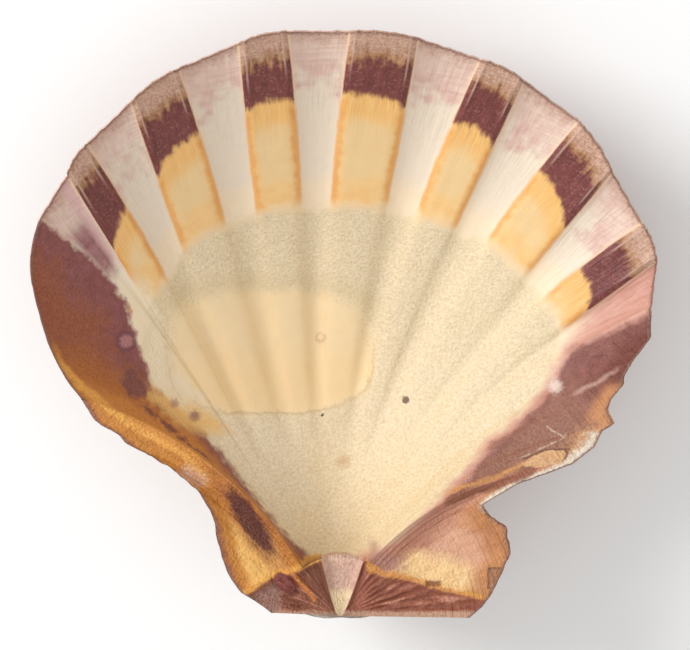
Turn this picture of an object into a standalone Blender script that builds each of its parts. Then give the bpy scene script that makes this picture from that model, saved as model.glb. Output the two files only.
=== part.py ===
"""Scallop shell: one valve of a large ribbed scallop, seen from its inside."""
import math

import bmesh
import bpy
import numpy as np
from mathutils import Matrix

# All sizes are in millimetres of the real shell and are turned into metres at the end.
# X runs along the hinge, Y from the hinge to the far rim, Z out of the open side.
# The hinge middle, the tip of the ligament pit, is the zero point while the shell is shaped.
MILLIMETRE = 0.001

# Growth of the valve: each step of growth turns it about the hinge and makes it larger.
GROWTH_RATE = 1.3
UMBO_TURN = math.pi / 2

# Wall of the shell.
RIM_THICKNESS = 1.7
EAR_THICKNESS = 2.3
UMBO_THICKENING = 7.0
RIM_ROUNDING = 0.4
UMBO_BULGE = 0.6

# Ribs: the raised bands of the inside are the grooves of the outside. They are lower deep in the bowl.
RIB_HEIGHT_INSIDE = 1.05
RIB_STEEPNESS = 2.2
DEEP_RIB_SHARE = 0.3
DEEPEST_RIB_SHARE = 0.05
RIB_SWELL_SHARES = (0.45, 0.95)
RIB_FADE_SHARES = (0.15, 0.45)
RIB_HEIGHT_OUTSIDE = 2.0
FLANK_RIB_SHARE = 0.4
RIB_LEAN = -1.2
CHANNEL_TAPER = 1.05
RIB_BULGE_AT_RIM = 0.5
RAISED_RIM_SHARES = (0.16, 0.5, 0.84, 1.0)
CHANNEL_RIM_SHARES = (0.33, 0.67, 1.0)

# Growth ledges round the outside, as turns back from the rim, their height and the turn that each one takes.
LEDGE_TURNS = (0.10, 0.22, 0.38, 0.58)
LEDGE_HEIGHT = 0.5
LEDGE_RUN = 0.08
LEDGE_WIDTH = 0.05

# Hinge plate with a low ridge on each side of the ligament pit. The ears are a little lower than the plate.
PLATE_DEPTH = 12.0
PLATE_SHARE_OF_LENGTH = 0.35
PLATE_OVERHANG = 0.9
PLATE_LEVEL = -0.5
PLATE_SLOPE = -0.05
FRONT_EAR_DIP = 1.5
BACK_EAR_DIP = 1.2
PIT_LENGTH = 11.4
PIT_TIP_HALF_WIDTH = 0.6
PIT_HALF_WIDTH = 4.4
PIT_LEAN = 0.5
PIT_DEPTH = 2.2
HINGE_RIDGE_HEIGHT = 0.9
HINGE_RIDGE_WIDTH = 1.6
HINGE_RIDGE_START = 8.6
HINGE_RIDGE_FALL = 0.2

# Wall from the hinge plate down to the bowl: how far it runs out and how much of its fall its middle row has.
WALL_RUN = 1.8
WALL_MIDDLE_RUN = 0.8
WALL_MIDDLE_FALL = 0.62
EAR_EDGE_FALL = 0.5

# Tilt that the shell takes when it lies on its rounded side.
REST_TILT_X = math.radians(-5.57)
REST_TILT_Y = math.radians(4.02)

# Outline of the front ear, from the end of the hinge past the notch to the flank.
FRONT_EAR = (
    (25.9, -0.4), (28.5, 1.8), (30.5, 4.6), (32.3, 8.4), (34.1, 12.4), (33.9, 14.4),
    (33.1, 17.9), (29.3, 20.5), (28.7, 22.3), (35.9, 26.5), (42.1, 28.7), (46.8, 30.5),
)
# Broken edge of the front flank, up to the first rib.
FRONT_FLANK = (
    (46.8, 30.5), (51.2, 33.9), (52.4, 36.9), (54.8, 38.3), (53.6, 40.9), (54.0, 42.9),
    (56.6, 46.1), (56.8, 47.8), (58.2, 50.4), (62.0, 55.4), (62.2, 61.4),
)
# Rim at the edges between white channels and coloured ribs, from the front to the back.
RIB_EDGES = (
    (62.2, 61.4), (63.4, 70.8), (60.4, 78.5), (54.6, 88.5), (47.8, 98.9), (36.9, 106.9),
    (28.1, 111.2), (15.7, 115.4), (2.0, 116.8), (-10.4, 116.8), (-20.3, 114.4),
    (-32.3, 109.4), (-41.9, 102.7), (-50.6, 94.3), (-54.6, 88.1), (-60.0, 79.5),
)
# Edge of the back flank.
BACK_FLANK = (
    (-60.0, 79.5), (-61.4, 74.5), (-61.9, 69.6), (-61.2, 64.6), (-59.9, 59.6), (-58.4, 54.6),
    (-56.2, 49.8), (-54.3, 46.6), (-52.0, 43.7),
)
# Crest of the back flank and outline of the back ear, down to the hinge.
BACK_EAR = (
    (-52.0, 43.7), (-48.8, 38.9), (-44.9, 36.5), (-42.1, 34.1), (-37.5, 31.7), (-33.7, 29.3),
    (-28.3, 24.5), (-25.5, 19.7), (-24.5, 15.0), (-23.1, 10.2), (-20.5, 5.4), (-17.1, 3.0),
    (-13.8, 0.6),
)

# Places across the fan: 0 and 1 bound the front ear, 2 to 17 are the rib edges, 18 and 19 bound the back ear.
FLANK_START = 1.0
RIBS_START = 2.0
FAN_MIDDLE = 9.0
RIBS_END = 17.0
EAR_START = 18.0
FAN_END = 19.0

# Direction in degrees in which each growth line leaves the hinge plate.
LEAVING_PLACES = (0.0, 0.27, 0.5, 0.75, 1.0, 2.0, 17.0, 18.0, 18.25, 18.5, 18.75, 19.0)
LEAVING_ANGLES = (-1.0, 20.0, 40.0, 54.0, 62.0, 66.0, 122.0, 128.0, 131.5, 140.0, 156.0, 177.5)

# Sideways bow of the growth lines at their middle, positive towards the back.
BOW_PLACES = (0.0, 0.5, 1.0, 2.0, 3.0, 4.5, 6.5, 8.0, 11.0, 13.0, 15.0, 16.0, 17.0, 18.0, 18.5, 19.0)
BOW_SIZES = (0.0, 1.0, 4.4, 5.6, 7.0, 6.0, 5.7, 4.5, 2.9, 2.7, 1.8, 0.9, -1.8, -5.2, -0.8, 0.0)

# How high the growing edge stood above the hinge, which gives the depth of the bowl.
DEPTH_PLACES = (0.0, 0.5, 0.8, 1.0, 2.0, 3.0, 5.0, 7.0, 10.0, 13.0, 15.0, 17.0, 17.5, 18.0)
DEPTH_SIZES = (2.0, 7.0, 16.0, 30.0, 66.0, 75.0, 93.0, 108.0, 117.0, 111.0, 99.0, 90.0, 81.0, 66.0)
EAR_DEPTH_PLACES = (18.0, 18.06, 18.3, 18.6, 19.0)
EAR_DEPTH_SIZES = (66.0, 63.0, 18.0, 9.0, 2.0)

# Rows of points from the hinge to the rim: on the hinge plate, down its wall, then over the bowl.
PLATE_ROWS = (0.0, 0.28, 0.52, 0.76, 1.0)
BOWL_ROWS = 18
BOWL_ROW_SHIFT = 0.06
ROW_COUNT = len(PLATE_ROWS) + 1 + BOWL_ROWS
UMBO_ROWS = 3
OUTSIDE_ROW_SPREAD = 1.25
FACING_STEP = 0.02


def smooth_step(low, high, value):
    """Soft change from 0 at low to 1 at high."""
    share = min(max((value - low) / (high - low), 0.0), 1.0)
    return share * share * (3.0 - 2.0 * share)


def hump(middle, width, value):
    """Soft hump of height 1 around the middle."""
    return math.exp(-((value - middle) / width) ** 2)


def smooth_table(value, places, sizes):
    """Soft curve through a short table of sizes, read at one place."""
    value = min(max(value, places[0]), places[-1])
    number = min(max(int(np.searchsorted(places, value, side="right")) - 1, 0), len(places) - 2)
    slopes = []
    for knot in (number, number + 1):
        before, after = max(knot - 1, 0), min(knot + 1, len(places) - 1)
        slopes.append((sizes[after] - sizes[before]) / (places[after] - places[before]))
    step = places[number + 1] - places[number]
    share = (value - places[number]) / step
    rise = sizes[number + 1] - sizes[number]
    curve = slopes[0] * step * share * (1.0 - share) ** 2 - slopes[1] * step * share ** 2 * (1.0 - share)
    return sizes[number] + rise * share * share * (3.0 - 2.0 * share) + curve


def along(points):
    """Places of outline points by the length between them, from 0 to 1."""
    steps = [math.dist(a, b) for a, b in zip(points, points[1:])]
    places = np.concatenate([[0.0], np.cumsum(steps)])
    return places / places[-1]


def margin_table():
    """Places across the fan with their points on the outline."""
    table = [(place, point) for place, point in zip(along(FRONT_EAR), FRONT_EAR)]
    table += [(FLANK_START + place, point) for place, point in zip(along(FRONT_FLANK), FRONT_FLANK)][1:]
    for number in range(len(RIB_EDGES) - 1):
        start, end = np.array(RIB_EDGES[number]), np.array(RIB_EDGES[number + 1])
        raised = number % 2 == 1
        outward = np.array([end[1] - start[1], start[0] - end[0]])
        outward = outward / np.linalg.norm(outward)
        shares = RAISED_RIM_SHARES if raised else CHANNEL_RIM_SHARES
        for share in shares:
            bulge = RIB_BULGE_AT_RIM * math.sin(math.pi * share) if raised else 0.0
            point = start + (end - start) * share + outward * bulge
            table.append((RIBS_START + number + share, tuple(point)))
    table += [(RIBS_END + place, point) for place, point in zip(along(BACK_FLANK), BACK_FLANK)][1:]
    ear = [(EAR_START + place, point) for place, point in zip(along(BACK_EAR), BACK_EAR)][1:]
    table.append((EAR_START + 0.02, BACK_EAR[0]))
    return table + ear


MARGIN = margin_table()
MARGIN_PLACES = [row[0] for row in MARGIN]
MARGIN_X = [row[1][0] for row in MARGIN]
MARGIN_Y = [row[1][1] for row in MARGIN]
TURNS = np.linspace(0.0, UMBO_TURN, 400)
SHARES = np.exp(-GROWTH_RATE * TURNS) * np.cos(TURNS)
DROPS = np.exp(-GROWTH_RATE * TURNS) * np.sin(TURNS)


def drop_at(share):
    """Depth of the growth spiral at a share of the way from the hinge to the rim."""
    return float(np.interp(share, SHARES[::-1], DROPS[::-1]))


def rib_pattern(place):
    """1 on a raised band of the inside, -1 in a channel, 0 outside the ribs."""
    if place <= RIBS_START or place >= RIBS_END:
        return 0.0
    return math.tanh(-RIB_STEEPNESS * math.sin(math.pi * place)) / math.tanh(RIB_STEEPNESS)


def growth_line(place, share):
    """Point of a growth line, seen from above, at a share of the way from the hinge to the rim."""
    end = np.array([np.interp(place, MARGIN_PLACES, MARGIN_X), np.interp(place, MARGIN_PLACES, MARGIN_Y)])
    length = float(np.linalg.norm(end))
    plate = min(PLATE_DEPTH, PLATE_SHARE_OF_LENGTH * length)
    angle = math.radians(smooth_table(place, LEAVING_PLACES, LEAVING_ANGLES))
    ledge = np.array([math.cos(angle), math.sin(angle)]) * plate
    reach = share * length
    if reach <= plate:
        return ledge * (reach / plate), length, plate
    way = (reach - plate) / (length - plate)
    chord = end - ledge
    left = np.array([-chord[1], chord[0]]) / np.linalg.norm(chord)
    bow = smooth_table(place, BOW_PLACES, BOW_SIZES) * 4.0 * way * (1.0 - way)
    fade = smooth_step(RIBS_START - 0.5, RIBS_START + 0.5, place) * smooth_step(-17.5, -16.5, -place)
    bow += (RIB_LEAN + CHANNEL_TAPER * math.cos(math.pi * place)) * fade * 6.75 * way * way * (1.0 - way)
    return ledge + chord * way + left * bow, length, plate


def plate_height(place, x, y):
    """Height of the hinge plate and of the ears."""
    front = smooth_step(6.0, 20.0, x)
    back = smooth_step(6.0, 16.0, -x)
    height = PLATE_LEVEL + PLATE_SLOPE * y
    height -= FRONT_EAR_DIP * front * hump(0.55, 0.35, place)
    height -= BACK_EAR_DIP * back * hump(18.45, 0.3, place)
    pit_share = min(max(y / PIT_LENGTH, 0.0), 1.1)
    half = PIT_TIP_HALF_WIDTH + (PIT_HALF_WIDTH - PIT_TIP_HALF_WIDTH) * pit_share
    inside_pit = max(0.0, 1.0 - (abs(x - PIT_LEAN * pit_share) / half) ** 2)
    height -= PIT_DEPTH * pit_share * math.sqrt(inside_pit)
    ridge_line = HINGE_RIDGE_START - HINGE_RIDGE_FALL * abs(x)
    if abs(x) > PIT_HALF_WIDTH:
        beside_pit = smooth_step(PIT_HALF_WIDTH, 7.0, abs(x))
        height += HINGE_RIDGE_HEIGHT * hump(ridge_line, HINGE_RIDGE_WIDTH, y) * beside_pit
    return height


def bowl_weight(place):
    """1 inside the disc and 0 on the ears."""
    return smooth_step(0.75, 1.7, place) if place < FAN_MIDDLE else float(place < EAR_START + 0.01)


def inner_point(place, row):
    """Point of the inside on a row that is counted from the hinge."""
    weight = bowl_weight(place)
    _, length, plate = growth_line(place, 1.0)
    last_plate = len(PLATE_ROWS) - 1
    if row <= last_plate:
        reach = plate * PLATE_ROWS[row]
        flat = growth_line(place, reach / length)[0]
        return flat[0], flat[1], plate_height(place, flat[0], flat[1])
    if row == last_plate + 1:
        reach = plate + WALL_MIDDLE_RUN - weight * (WALL_MIDDLE_RUN + PLATE_OVERHANG)
        fall = WALL_MIDDLE_FALL
    else:
        step = (row - last_plate - 2) / (BOWL_ROWS - 1)
        step = step + BOWL_ROW_SHIFT * math.sin(math.pi * step)
        reach = plate + WALL_RUN + (length - plate - WALL_RUN) * step
        fall = 1.0
    share = reach / length
    flat = growth_line(place, share)[0]
    low_share = min(max(share, (plate + WALL_RUN) / length), 1.0)
    bowl = -smooth_table(place, DEPTH_PLACES, DEPTH_SIZES) * drop_at(low_share)
    bowl += UMBO_THICKENING * (1.0 - low_share) ** 1.6
    deep = DEEP_RIB_SHARE * smooth_step(6.0, 10.0, place) * smooth_step(-16.8, -15.2, -place)
    deep += DEEPEST_RIB_SHARE
    relief = RIB_HEIGHT_INSIDE * (deep + (1.0 - deep) * smooth_step(*RIB_SWELL_SHARES, low_share))
    relief *= smooth_step(*RIB_FADE_SHARES, low_share)
    bowl += relief * rib_pattern(place)
    height = plate_height(place, flat[0], flat[1]) * (1.0 - weight * fall) + bowl * weight * fall
    if weight < 1.0 and row > last_plate:
        height *= 1.0 - EAR_EDGE_FALL * smooth_step(0.8, 1.0, share) * (1.0 - weight)
    return flat[0], flat[1], height


def outer_base(place, turn):
    """Point of the outside before ribs and ledges swell it, after a turn back from the rim."""
    ear = smooth_step(EAR_START + 0.08, EAR_START + 0.5, place) + 1.0 - smooth_step(0.75, 1.7, place)
    thickness = RIM_THICKNESS + (EAR_THICKNESS - RIM_THICKNESS) * ear
    depth = smooth_table(place, DEPTH_PLACES, DEPTH_SIZES)
    if place > EAR_START:
        depth = smooth_table(place, EAR_DEPTH_PLACES, EAR_DEPTH_SIZES)
    scale = math.exp(-GROWTH_RATE * turn)
    end = growth_line(place, 1.0)[0]
    flat = growth_line(place, scale * math.cos(turn))[0]
    x = flat[0] + end[0] * scale * (1.0 - math.cos(turn))
    return np.array([x, flat[1], -depth * scale * math.sin(turn) - thickness])


def outer_point(place, row):
    """Point of the outside on a row that is counted from the hinge."""
    turn_rows = ROW_COUNT - 1 - UMBO_ROWS
    turn = UMBO_TURN * min((ROW_COUNT - 1 - row) / turn_rows, 1.0) ** OUTSIDE_ROW_SPREAD
    point = outer_base(place, turn)
    near = min(max(place, 1.5 * FACING_STEP), FAN_END - 1.5 * FACING_STEP)
    across = outer_base(near + FACING_STEP, turn) - outer_base(near - FACING_STEP, turn)
    back = min(turn + 0.5 * FACING_STEP, UMBO_TURN)
    down = outer_base(near, back) - outer_base(near, back - FACING_STEP)
    outward = np.cross(down, across)
    outward = outward / max(np.linalg.norm(outward), 0.000001)
    scale = math.exp(-GROWTH_RATE * turn)
    swell = 0.0
    if RIBS_START < place < RIBS_END:
        low = FLANK_RIB_SHARE
        high = low + (1.0 - low) * smooth_step(2.0, 3.5, place) * smooth_step(-17.0, -15.5, -place)
        swell = RIB_HEIGHT_OUTSIDE * high * scale * math.sin(math.pi * place)
    disc = smooth_step(0.9, 1.6, place) * smooth_step(-18.0, -17.6, -place)
    for ledge in LEDGE_TURNS:
        swell += LEDGE_HEIGHT * scale * (turn - ledge) / LEDGE_RUN * hump(ledge, LEDGE_WIDTH, turn) * disc
    inside_rim = smooth_step(0.0, 0.25, turn)
    point = point + outward * swell * np.array([inside_rim, inside_rim, 1.0])
    if row < UMBO_ROWS:
        share = row / UMBO_ROWS
        pole = np.array([0.0, -0.3, -0.5 - EAR_THICKNESS])
        point = pole + (point - pole) * share
        point[1] -= UMBO_BULGE * math.sin(math.pi * share) * smooth_step(-2.5, -9.0, point[2])
    return tuple(point)


def shell_points():
    """Rows of points from the hinge over the inside, round the rim and back under the outside."""
    rows = []
    for row in range(ROW_COUNT):
        rows.append([inner_point(place, row) for place in MARGIN_PLACES])
    top = rows[-1]
    bottom = [outer_point(place, ROW_COUNT - 1) for place in MARGIN_PLACES]
    edge = []
    for number, point in enumerate(top):
        reach = math.hypot(point[0], point[1])
        inset = min(RIM_ROUNDING / reach, 0.015)
        low = bottom[number]
        edge.append((point[0], point[1], 0.5 * (point[2] + low[2])))
        top[number] = (point[0] * (1.0 - inset), point[1] * (1.0 - inset), point[2])
        bottom[number] = (low[0] * (1.0 - inset), low[1] * (1.0 - inset), low[2])
    rows.append(edge)
    rows.append(bottom)
    for row in range(ROW_COUNT - 2, -1, -1):
        rows.append([outer_point(place, row) for place in MARGIN_PLACES])
    return rows


def build_valve(collection):
    """One closed solid: a grid that is shaped by the growth lines and closed along the hinge."""
    rows = shell_points()
    columns = len(MARGIN_PLACES)
    grid = bmesh.new()
    bmesh.ops.create_grid(grid, x_segments=columns - 1, y_segments=len(rows) - 1, size=1.0)
    grid.verts.ensure_lookup_table()
    order = sorted(grid.verts, key=lambda vert: (round(vert.co.y, 6), round(vert.co.x, 6)))
    for number, vert in enumerate(order):
        x, y, z = rows[number // columns][number % columns]
        vert.co = (x * MILLIMETRE, y * MILLIMETRE, z * MILLIMETRE)
    half = ROW_COUNT
    for column in (0, columns - 1):
        chain = [order[row * columns + column] for row in range(len(rows))]
        inner = [grid.edges.get((chain[row], chain[row + 1])) for row in range(half - 1)]
        outer = [grid.edges.get((chain[-1 - row], chain[-2 - row])) for row in range(half - 1)]
        bmesh.ops.bridge_loops(grid, edges=inner + outer)
    bmesh.ops.remove_doubles(grid, verts=grid.verts, dist=0.00001)
    bmesh.ops.holes_fill(grid, edges=[edge for edge in grid.edges if edge.is_boundary], sides=8)
    bmesh.ops.triangulate(grid, faces=grid.faces, quad_method="BEAUTY")
    bmesh.ops.recalc_face_normals(grid, faces=grid.faces)
    tilt = Matrix.Rotation(REST_TILT_Y, 4, "Y") @ Matrix.Rotation(REST_TILT_X, 4, "X")
    bmesh.ops.transform(grid, matrix=tilt, verts=grid.verts)
    low = [min(vert.co[axis] for vert in grid.verts) for axis in range(3)]
    high = [max(vert.co[axis] for vert in grid.verts) for axis in range(3)]
    shift = (-(low[0] + high[0]) / 2, -(low[1] + high[1]) / 2, -low[2])
    bmesh.ops.translate(grid, vec=shift, verts=grid.verts)
    mesh = bpy.data.meshes.new("valve")
    grid.to_mesh(mesh)
    grid.free()
    valve = bpy.data.objects.new("valve", mesh)
    collection.objects.link(valve)
    return valve


def shell_material():
    """Dense shell chalk with a low shine, in the warm cream of the inside."""
    material = bpy.data.materials.new("calcite shell")
    material.use_nodes = True
    surface = material.node_tree.nodes["Principled BSDF"]
    surface.inputs["Base Color"].default_value = (0.78, 0.62, 0.42, 1.0)
    surface.inputs["Roughness"].default_value = 0.45
    return material


for old in list(bpy.data.objects):
    bpy.data.objects.remove(old)
shell = bpy.data.collections.new("scallop shell")
bpy.context.scene.collection.children.link(shell)
valve_object = build_valve(shell)
valve_object.data.materials.append(shell_material())
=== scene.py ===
import math

import bpy
import numpy as np
from mathutils import Matrix, Vector


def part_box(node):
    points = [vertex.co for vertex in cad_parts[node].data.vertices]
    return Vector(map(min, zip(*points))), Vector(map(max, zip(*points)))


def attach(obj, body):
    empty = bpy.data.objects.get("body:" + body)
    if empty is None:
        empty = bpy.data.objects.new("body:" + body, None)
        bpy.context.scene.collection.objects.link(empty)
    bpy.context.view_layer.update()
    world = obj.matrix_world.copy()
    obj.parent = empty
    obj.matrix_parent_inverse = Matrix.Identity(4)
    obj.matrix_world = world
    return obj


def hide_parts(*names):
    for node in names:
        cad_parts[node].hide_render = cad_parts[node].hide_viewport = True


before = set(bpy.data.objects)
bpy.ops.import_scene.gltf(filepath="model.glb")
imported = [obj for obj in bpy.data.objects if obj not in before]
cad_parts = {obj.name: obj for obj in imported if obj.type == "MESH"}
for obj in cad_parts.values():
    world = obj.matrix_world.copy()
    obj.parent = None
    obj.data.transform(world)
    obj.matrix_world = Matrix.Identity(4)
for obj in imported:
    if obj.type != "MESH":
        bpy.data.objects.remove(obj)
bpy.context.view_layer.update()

# The growth plan of the valve. A scallop builds its shell of calcite at the rim, a thin layer at a time,
# and each layer is turned a little about the hinge and a little larger than the last. Its ribs, its bowl
# and its ears all lie on the lines along which the rim grew, in millimetres from the middle of the hinge.
MILLIMETRE = 0.001
GROWTH_RATE = 1.3
UMBO_TURN = math.pi / 2
PLATE_DEPTH = 12.0
RIB_LEAN = -1.2
CHANNEL_TAPER = 1.05
LATE_BOW_PEAK = 27 / 4
PLATE_SHARE_OF_LENGTH = 0.35
RIB_BULGE_AT_RIM = 0.5
REST_TILT_X = math.radians(-5.57)
REST_TILT_Y = math.radians(4.02)

FRONT_EAR = (
    (25.9, -0.4), (28.5, 1.8), (30.5, 4.6), (32.3, 8.4), (34.1, 12.4), (33.9, 14.4),
    (33.1, 17.9), (29.3, 20.5), (28.7, 22.3), (35.9, 26.5), (42.1, 28.7), (46.8, 30.5),
)
FRONT_FLANK = (
    (46.8, 30.5), (51.2, 33.9), (52.4, 36.9), (54.8, 38.3), (53.6, 40.9), (54.0, 42.9),
    (56.6, 46.1), (56.8, 47.8), (58.2, 50.4), (62.0, 55.4), (62.2, 61.4),
)
RIB_EDGES = (
    (62.2, 61.4), (63.4, 70.8), (60.4, 78.5), (54.6, 88.5), (47.8, 98.9), (36.9, 106.9),
    (28.1, 111.2), (15.7, 115.4), (2.0, 116.8), (-10.4, 116.8), (-20.3, 114.4),
    (-32.3, 109.4), (-41.9, 102.7), (-50.6, 94.3), (-54.6, 88.1), (-60.0, 79.5),
)
BACK_FLANK = (
    (-60.0, 79.5), (-61.4, 74.5), (-61.9, 69.6), (-61.2, 64.6), (-59.9, 59.6), (-58.4, 54.6),
    (-56.2, 49.8), (-54.3, 46.6), (-52.0, 43.7),
)
BACK_EAR = (
    (-52.0, 43.7), (-48.8, 38.9), (-44.9, 36.5), (-42.1, 34.1), (-37.5, 31.7), (-33.7, 29.3),
    (-28.3, 24.5), (-25.5, 19.7), (-24.5, 15.0), (-23.1, 10.2), (-20.5, 5.4), (-17.1, 3.0),
    (-13.8, 0.6),
)
RIBS_START, RIBS_END, EAR_START = 2.0, 17.0, 18.0
FAN_MIDDLE = 9.5
LEAVING_PLACES = (0.0, 0.27, 0.5, 0.75, 1.0, 2.0, 17.0, 18.0, 18.25, 18.5, 18.75, 19.0)
LEAVING_ANGLES = (-1.0, 20.0, 40.0, 54.0, 62.0, 66.0, 122.0, 128.0, 131.5, 140.0, 156.0, 177.5)
BOW_PLACES = (0.0, 0.5, 1.0, 2.0, 3.0, 4.5, 6.5, 8.0, 11.0, 13.0, 15.0, 16.0, 17.0, 18.0, 18.5, 19.0)
BOW_SIZES = (0.0, 1.0, 4.4, 5.6, 7.0, 6.0, 5.7, 4.5, 2.9, 2.7, 1.8, 0.9, -1.8, -5.2, -0.8, 0.0)
DEPTH_PLACES = (0.0, 0.5, 0.8, 1.0, 2.0, 3.0, 5.0, 7.0, 10.0, 13.0, 15.0, 17.0, 17.5, 18.0)
DEPTH_SIZES = (2.0, 7.0, 16.0, 30.0, 66.0, 75.0, 93.0, 108.0, 117.0, 111.0, 99.0, 90.0, 81.0, 66.0)
EAR_DEPTH_PLACES = (18.0, 18.06, 18.3, 18.6, 19.0)
EAR_DEPTH_SIZES = (66.0, 63.0, 18.0, 9.0, 2.0)


def smooth_step(low, high, values):
    """Soft change from 0 at low to 1 at high."""
    share = np.clip((values - low) / (high - low), 0.0, 1.0)
    return share * share * (3.0 - 2.0 * share)


def hump(middle, width, values):
    """Soft hump of height 1 around the middle."""
    return np.exp(-((values - middle) / width) ** 2)


def smooth_table(values, places, sizes):
    """Soft curve through a short table of sizes."""
    places, sizes = np.array(places), np.array(sizes)
    values = np.clip(values, places[0], places[-1])
    number = np.clip(np.searchsorted(places, values, side="right") - 1, 0, len(places) - 2)
    before = np.maximum(np.arange(len(places)) - 1, 0)
    after = np.minimum(np.arange(len(places)) + 1, len(places) - 1)
    slopes = (sizes[after] - sizes[before]) / (places[after] - places[before])
    step = places[number + 1] - places[number]
    share = (values - places[number]) / step
    rise = (sizes[number + 1] - sizes[number]) * share * share * (3.0 - 2.0 * share)
    curve = slopes[number] * share * (1.0 - share) ** 2 - slopes[number + 1] * share ** 2 * (1.0 - share)
    return sizes[number] + rise + curve * step


def ragged(values, rate, seed):
    """Uneven wave between about -1 and 1, the same on every run."""
    phases = np.random.default_rng(seed).uniform(0.0, 2.0 * math.pi, 5)
    steps = rate * np.array([1.0, 1.73, 2.61, 4.37, 7.19])
    wave = 0.0
    for number, (step, phase) in enumerate(zip(steps, phases)):
        wave = wave + np.sin(values * step + phase) / (1.0 + 0.35 * number)
    return wave / 2.4


def smoothed(values, spread, reach):
    """An even row of values smoothed by a bell, whose spread and reach are counted in steps of the row."""
    bell = np.exp(-(np.arange(-reach, reach + 1) / spread) ** 2 / 2)
    return np.convolve(np.pad(values, reach, mode="edge"), bell / bell.sum(), mode="valid")


def along(points):
    """Places of outline points by the length between them, from 0 to 1."""
    steps = [math.dist(a, b) for a, b in zip(points, points[1:])]
    places = np.concatenate([[0.0], np.cumsum(steps)])
    return places / places[-1]


def margin_table():
    """Dense places across the fan with their points on the outline."""
    places, points = [], []
    for start, outline, soft in ((0.0, FRONT_EAR, 0.35), (1.0, FRONT_FLANK, 0.3)):
        share = np.linspace(0.0, 1.0, 200, endpoint=False)
        x = np.interp(share, along(outline), [p[0] for p in outline])
        y = np.interp(share, along(outline), [p[1] for p in outline])
        uneven = soft * np.sin(math.pi * share) ** 0.5 * ragged(share, 60.0, 3)
        places.append(start + share)
        points.append(np.stack([x + uneven * 0.6, y + uneven * 0.5], 1))
    for number in range(len(RIB_EDGES) - 1):
        start, end = np.array(RIB_EDGES[number]), np.array(RIB_EDGES[number + 1])
        share = np.linspace(0.0, 1.0, 40, endpoint=False)
        outward = np.array([end[1] - start[1], start[0] - end[0]]) / np.linalg.norm(end - start)
        bulge = (RIB_BULGE_AT_RIM if number % 2 else 0.05) * np.sin(math.pi * share)
        bulge = bulge + 0.16 * ragged(share + number, 21.0, 5)
        places.append(RIBS_START + number + share)
        points.append(start + (end - start) * share[:, None] + outward * bulge[:, None])
    for start, outline, soft in ((RIBS_END, BACK_FLANK, 0.12), (EAR_START, BACK_EAR, 0.3)):
        share = np.linspace(0.0, 1.0, 200, endpoint=(start == EAR_START))
        x = smooth_table(share, along(outline), [p[0] for p in outline])
        y = smooth_table(share, along(outline), [p[1] for p in outline])
        uneven = soft * np.sin(math.pi * np.clip(share, 0.0, 1.0)) ** 0.5 * ragged(share, 55.0, 8)
        places.append(start + share)
        points.append(np.stack([x - uneven * 0.4, y - uneven * 0.6], 1))
    return np.concatenate(places), np.concatenate(points)


MARGIN_PLACES, MARGIN_POINTS = margin_table()
TURNS = np.linspace(0.0, UMBO_TURN, 400)
SHARES = np.exp(-GROWTH_RATE * TURNS) * np.cos(TURNS)
DROPS = np.exp(-GROWTH_RATE * TURNS) * np.sin(TURNS)


def drop_at(share):
    """Depth of the growth spiral at a share of the way from the hinge to the rim."""
    return np.interp(share, SHARES[::-1], DROPS[::-1])


def line_ends(place):
    """Start, end and length of growth lines, and the reach of the hinge plate along them."""
    x = np.interp(place, MARGIN_PLACES, MARGIN_POINTS[:, 0])
    y = np.interp(place, MARGIN_PLACES, MARGIN_POINTS[:, 1])
    end = np.stack([x, y], -1)
    length = np.linalg.norm(end, axis=-1)
    plate = np.minimum(PLATE_DEPTH, PLATE_SHARE_OF_LENGTH * length)
    angle = np.radians(smooth_table(place, LEAVING_PLACES, LEAVING_ANGLES))
    ledge = np.stack([np.cos(angle), np.sin(angle)], -1) * plate[..., None]
    return ledge, end, length, plate


def growth_line(place, share):
    """Points of growth lines, seen from above, at a share of the way from the hinge to the rim."""
    place, share = np.broadcast_arrays(place, share)
    ledge, end, length, plate = line_ends(place)
    reach = share * length
    way = np.clip((reach - plate) / (length - plate), 0.0, 1.0)
    chord = end - ledge
    left = np.stack([-chord[..., 1], chord[..., 0]], -1) / np.linalg.norm(chord, axis=-1)[..., None]
    bow = smooth_table(place, BOW_PLACES, BOW_SIZES) * 4.0 * way * (1.0 - way)
    fade = smooth_step(RIBS_START - 0.5, RIBS_START + 0.5, place) * smooth_step(-17.5, -16.5, -place)
    late = LATE_BOW_PEAK * way * way * (1.0 - way)
    bow = bow + (RIB_LEAN + CHANNEL_TAPER * np.cos(math.pi * place)) * fade * late
    outer = ledge + chord * way[..., None] + left * bow[..., None]
    inner = ledge * (reach / plate)[..., None]
    return np.where((reach <= plate)[..., None], inner, outer)


def even_share(place, share):
    """Share of the way to the rim before the front flank chipped, which its height still follows."""
    dense = np.arange(0.9, 2.6, 0.01)
    chipped = line_ends(dense)[2]
    ratio = np.interp(place, dense, chipped / smoothed(chipped, 16.0, 40))
    ratio = 1.0 + (ratio - 1.0) * smooth_step(0.9, 1.15, place) * smooth_step(-2.5, -2.1, -place)
    # the corner of the rim between the last rib and the back flank is rounded off deeper in the bowl
    corner = np.arange(15.0, 18.0, 0.01)
    flat = growth_line(corner, np.full(len(corner), 0.6))
    angle, reach = np.degrees(np.arctan2(flat[:, 1], flat[:, 0])), np.linalg.norm(flat, axis=1)
    even = np.arange(angle[0], angle[-1], 0.1)
    whole = smoothed(np.interp(even, angle, reach), 40.0, 90)
    rounding = np.interp(place, corner, reach / np.interp(angle, even, whole)) - 1.0
    rounding = rounding * smooth_step(15.6, 16.1, place) * smooth_step(-17.9, -17.6, -place)
    ratio = ratio + rounding * smooth_step(-1.0, -0.75, -share)
    return np.minimum(share * ratio, 1.0)


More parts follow.
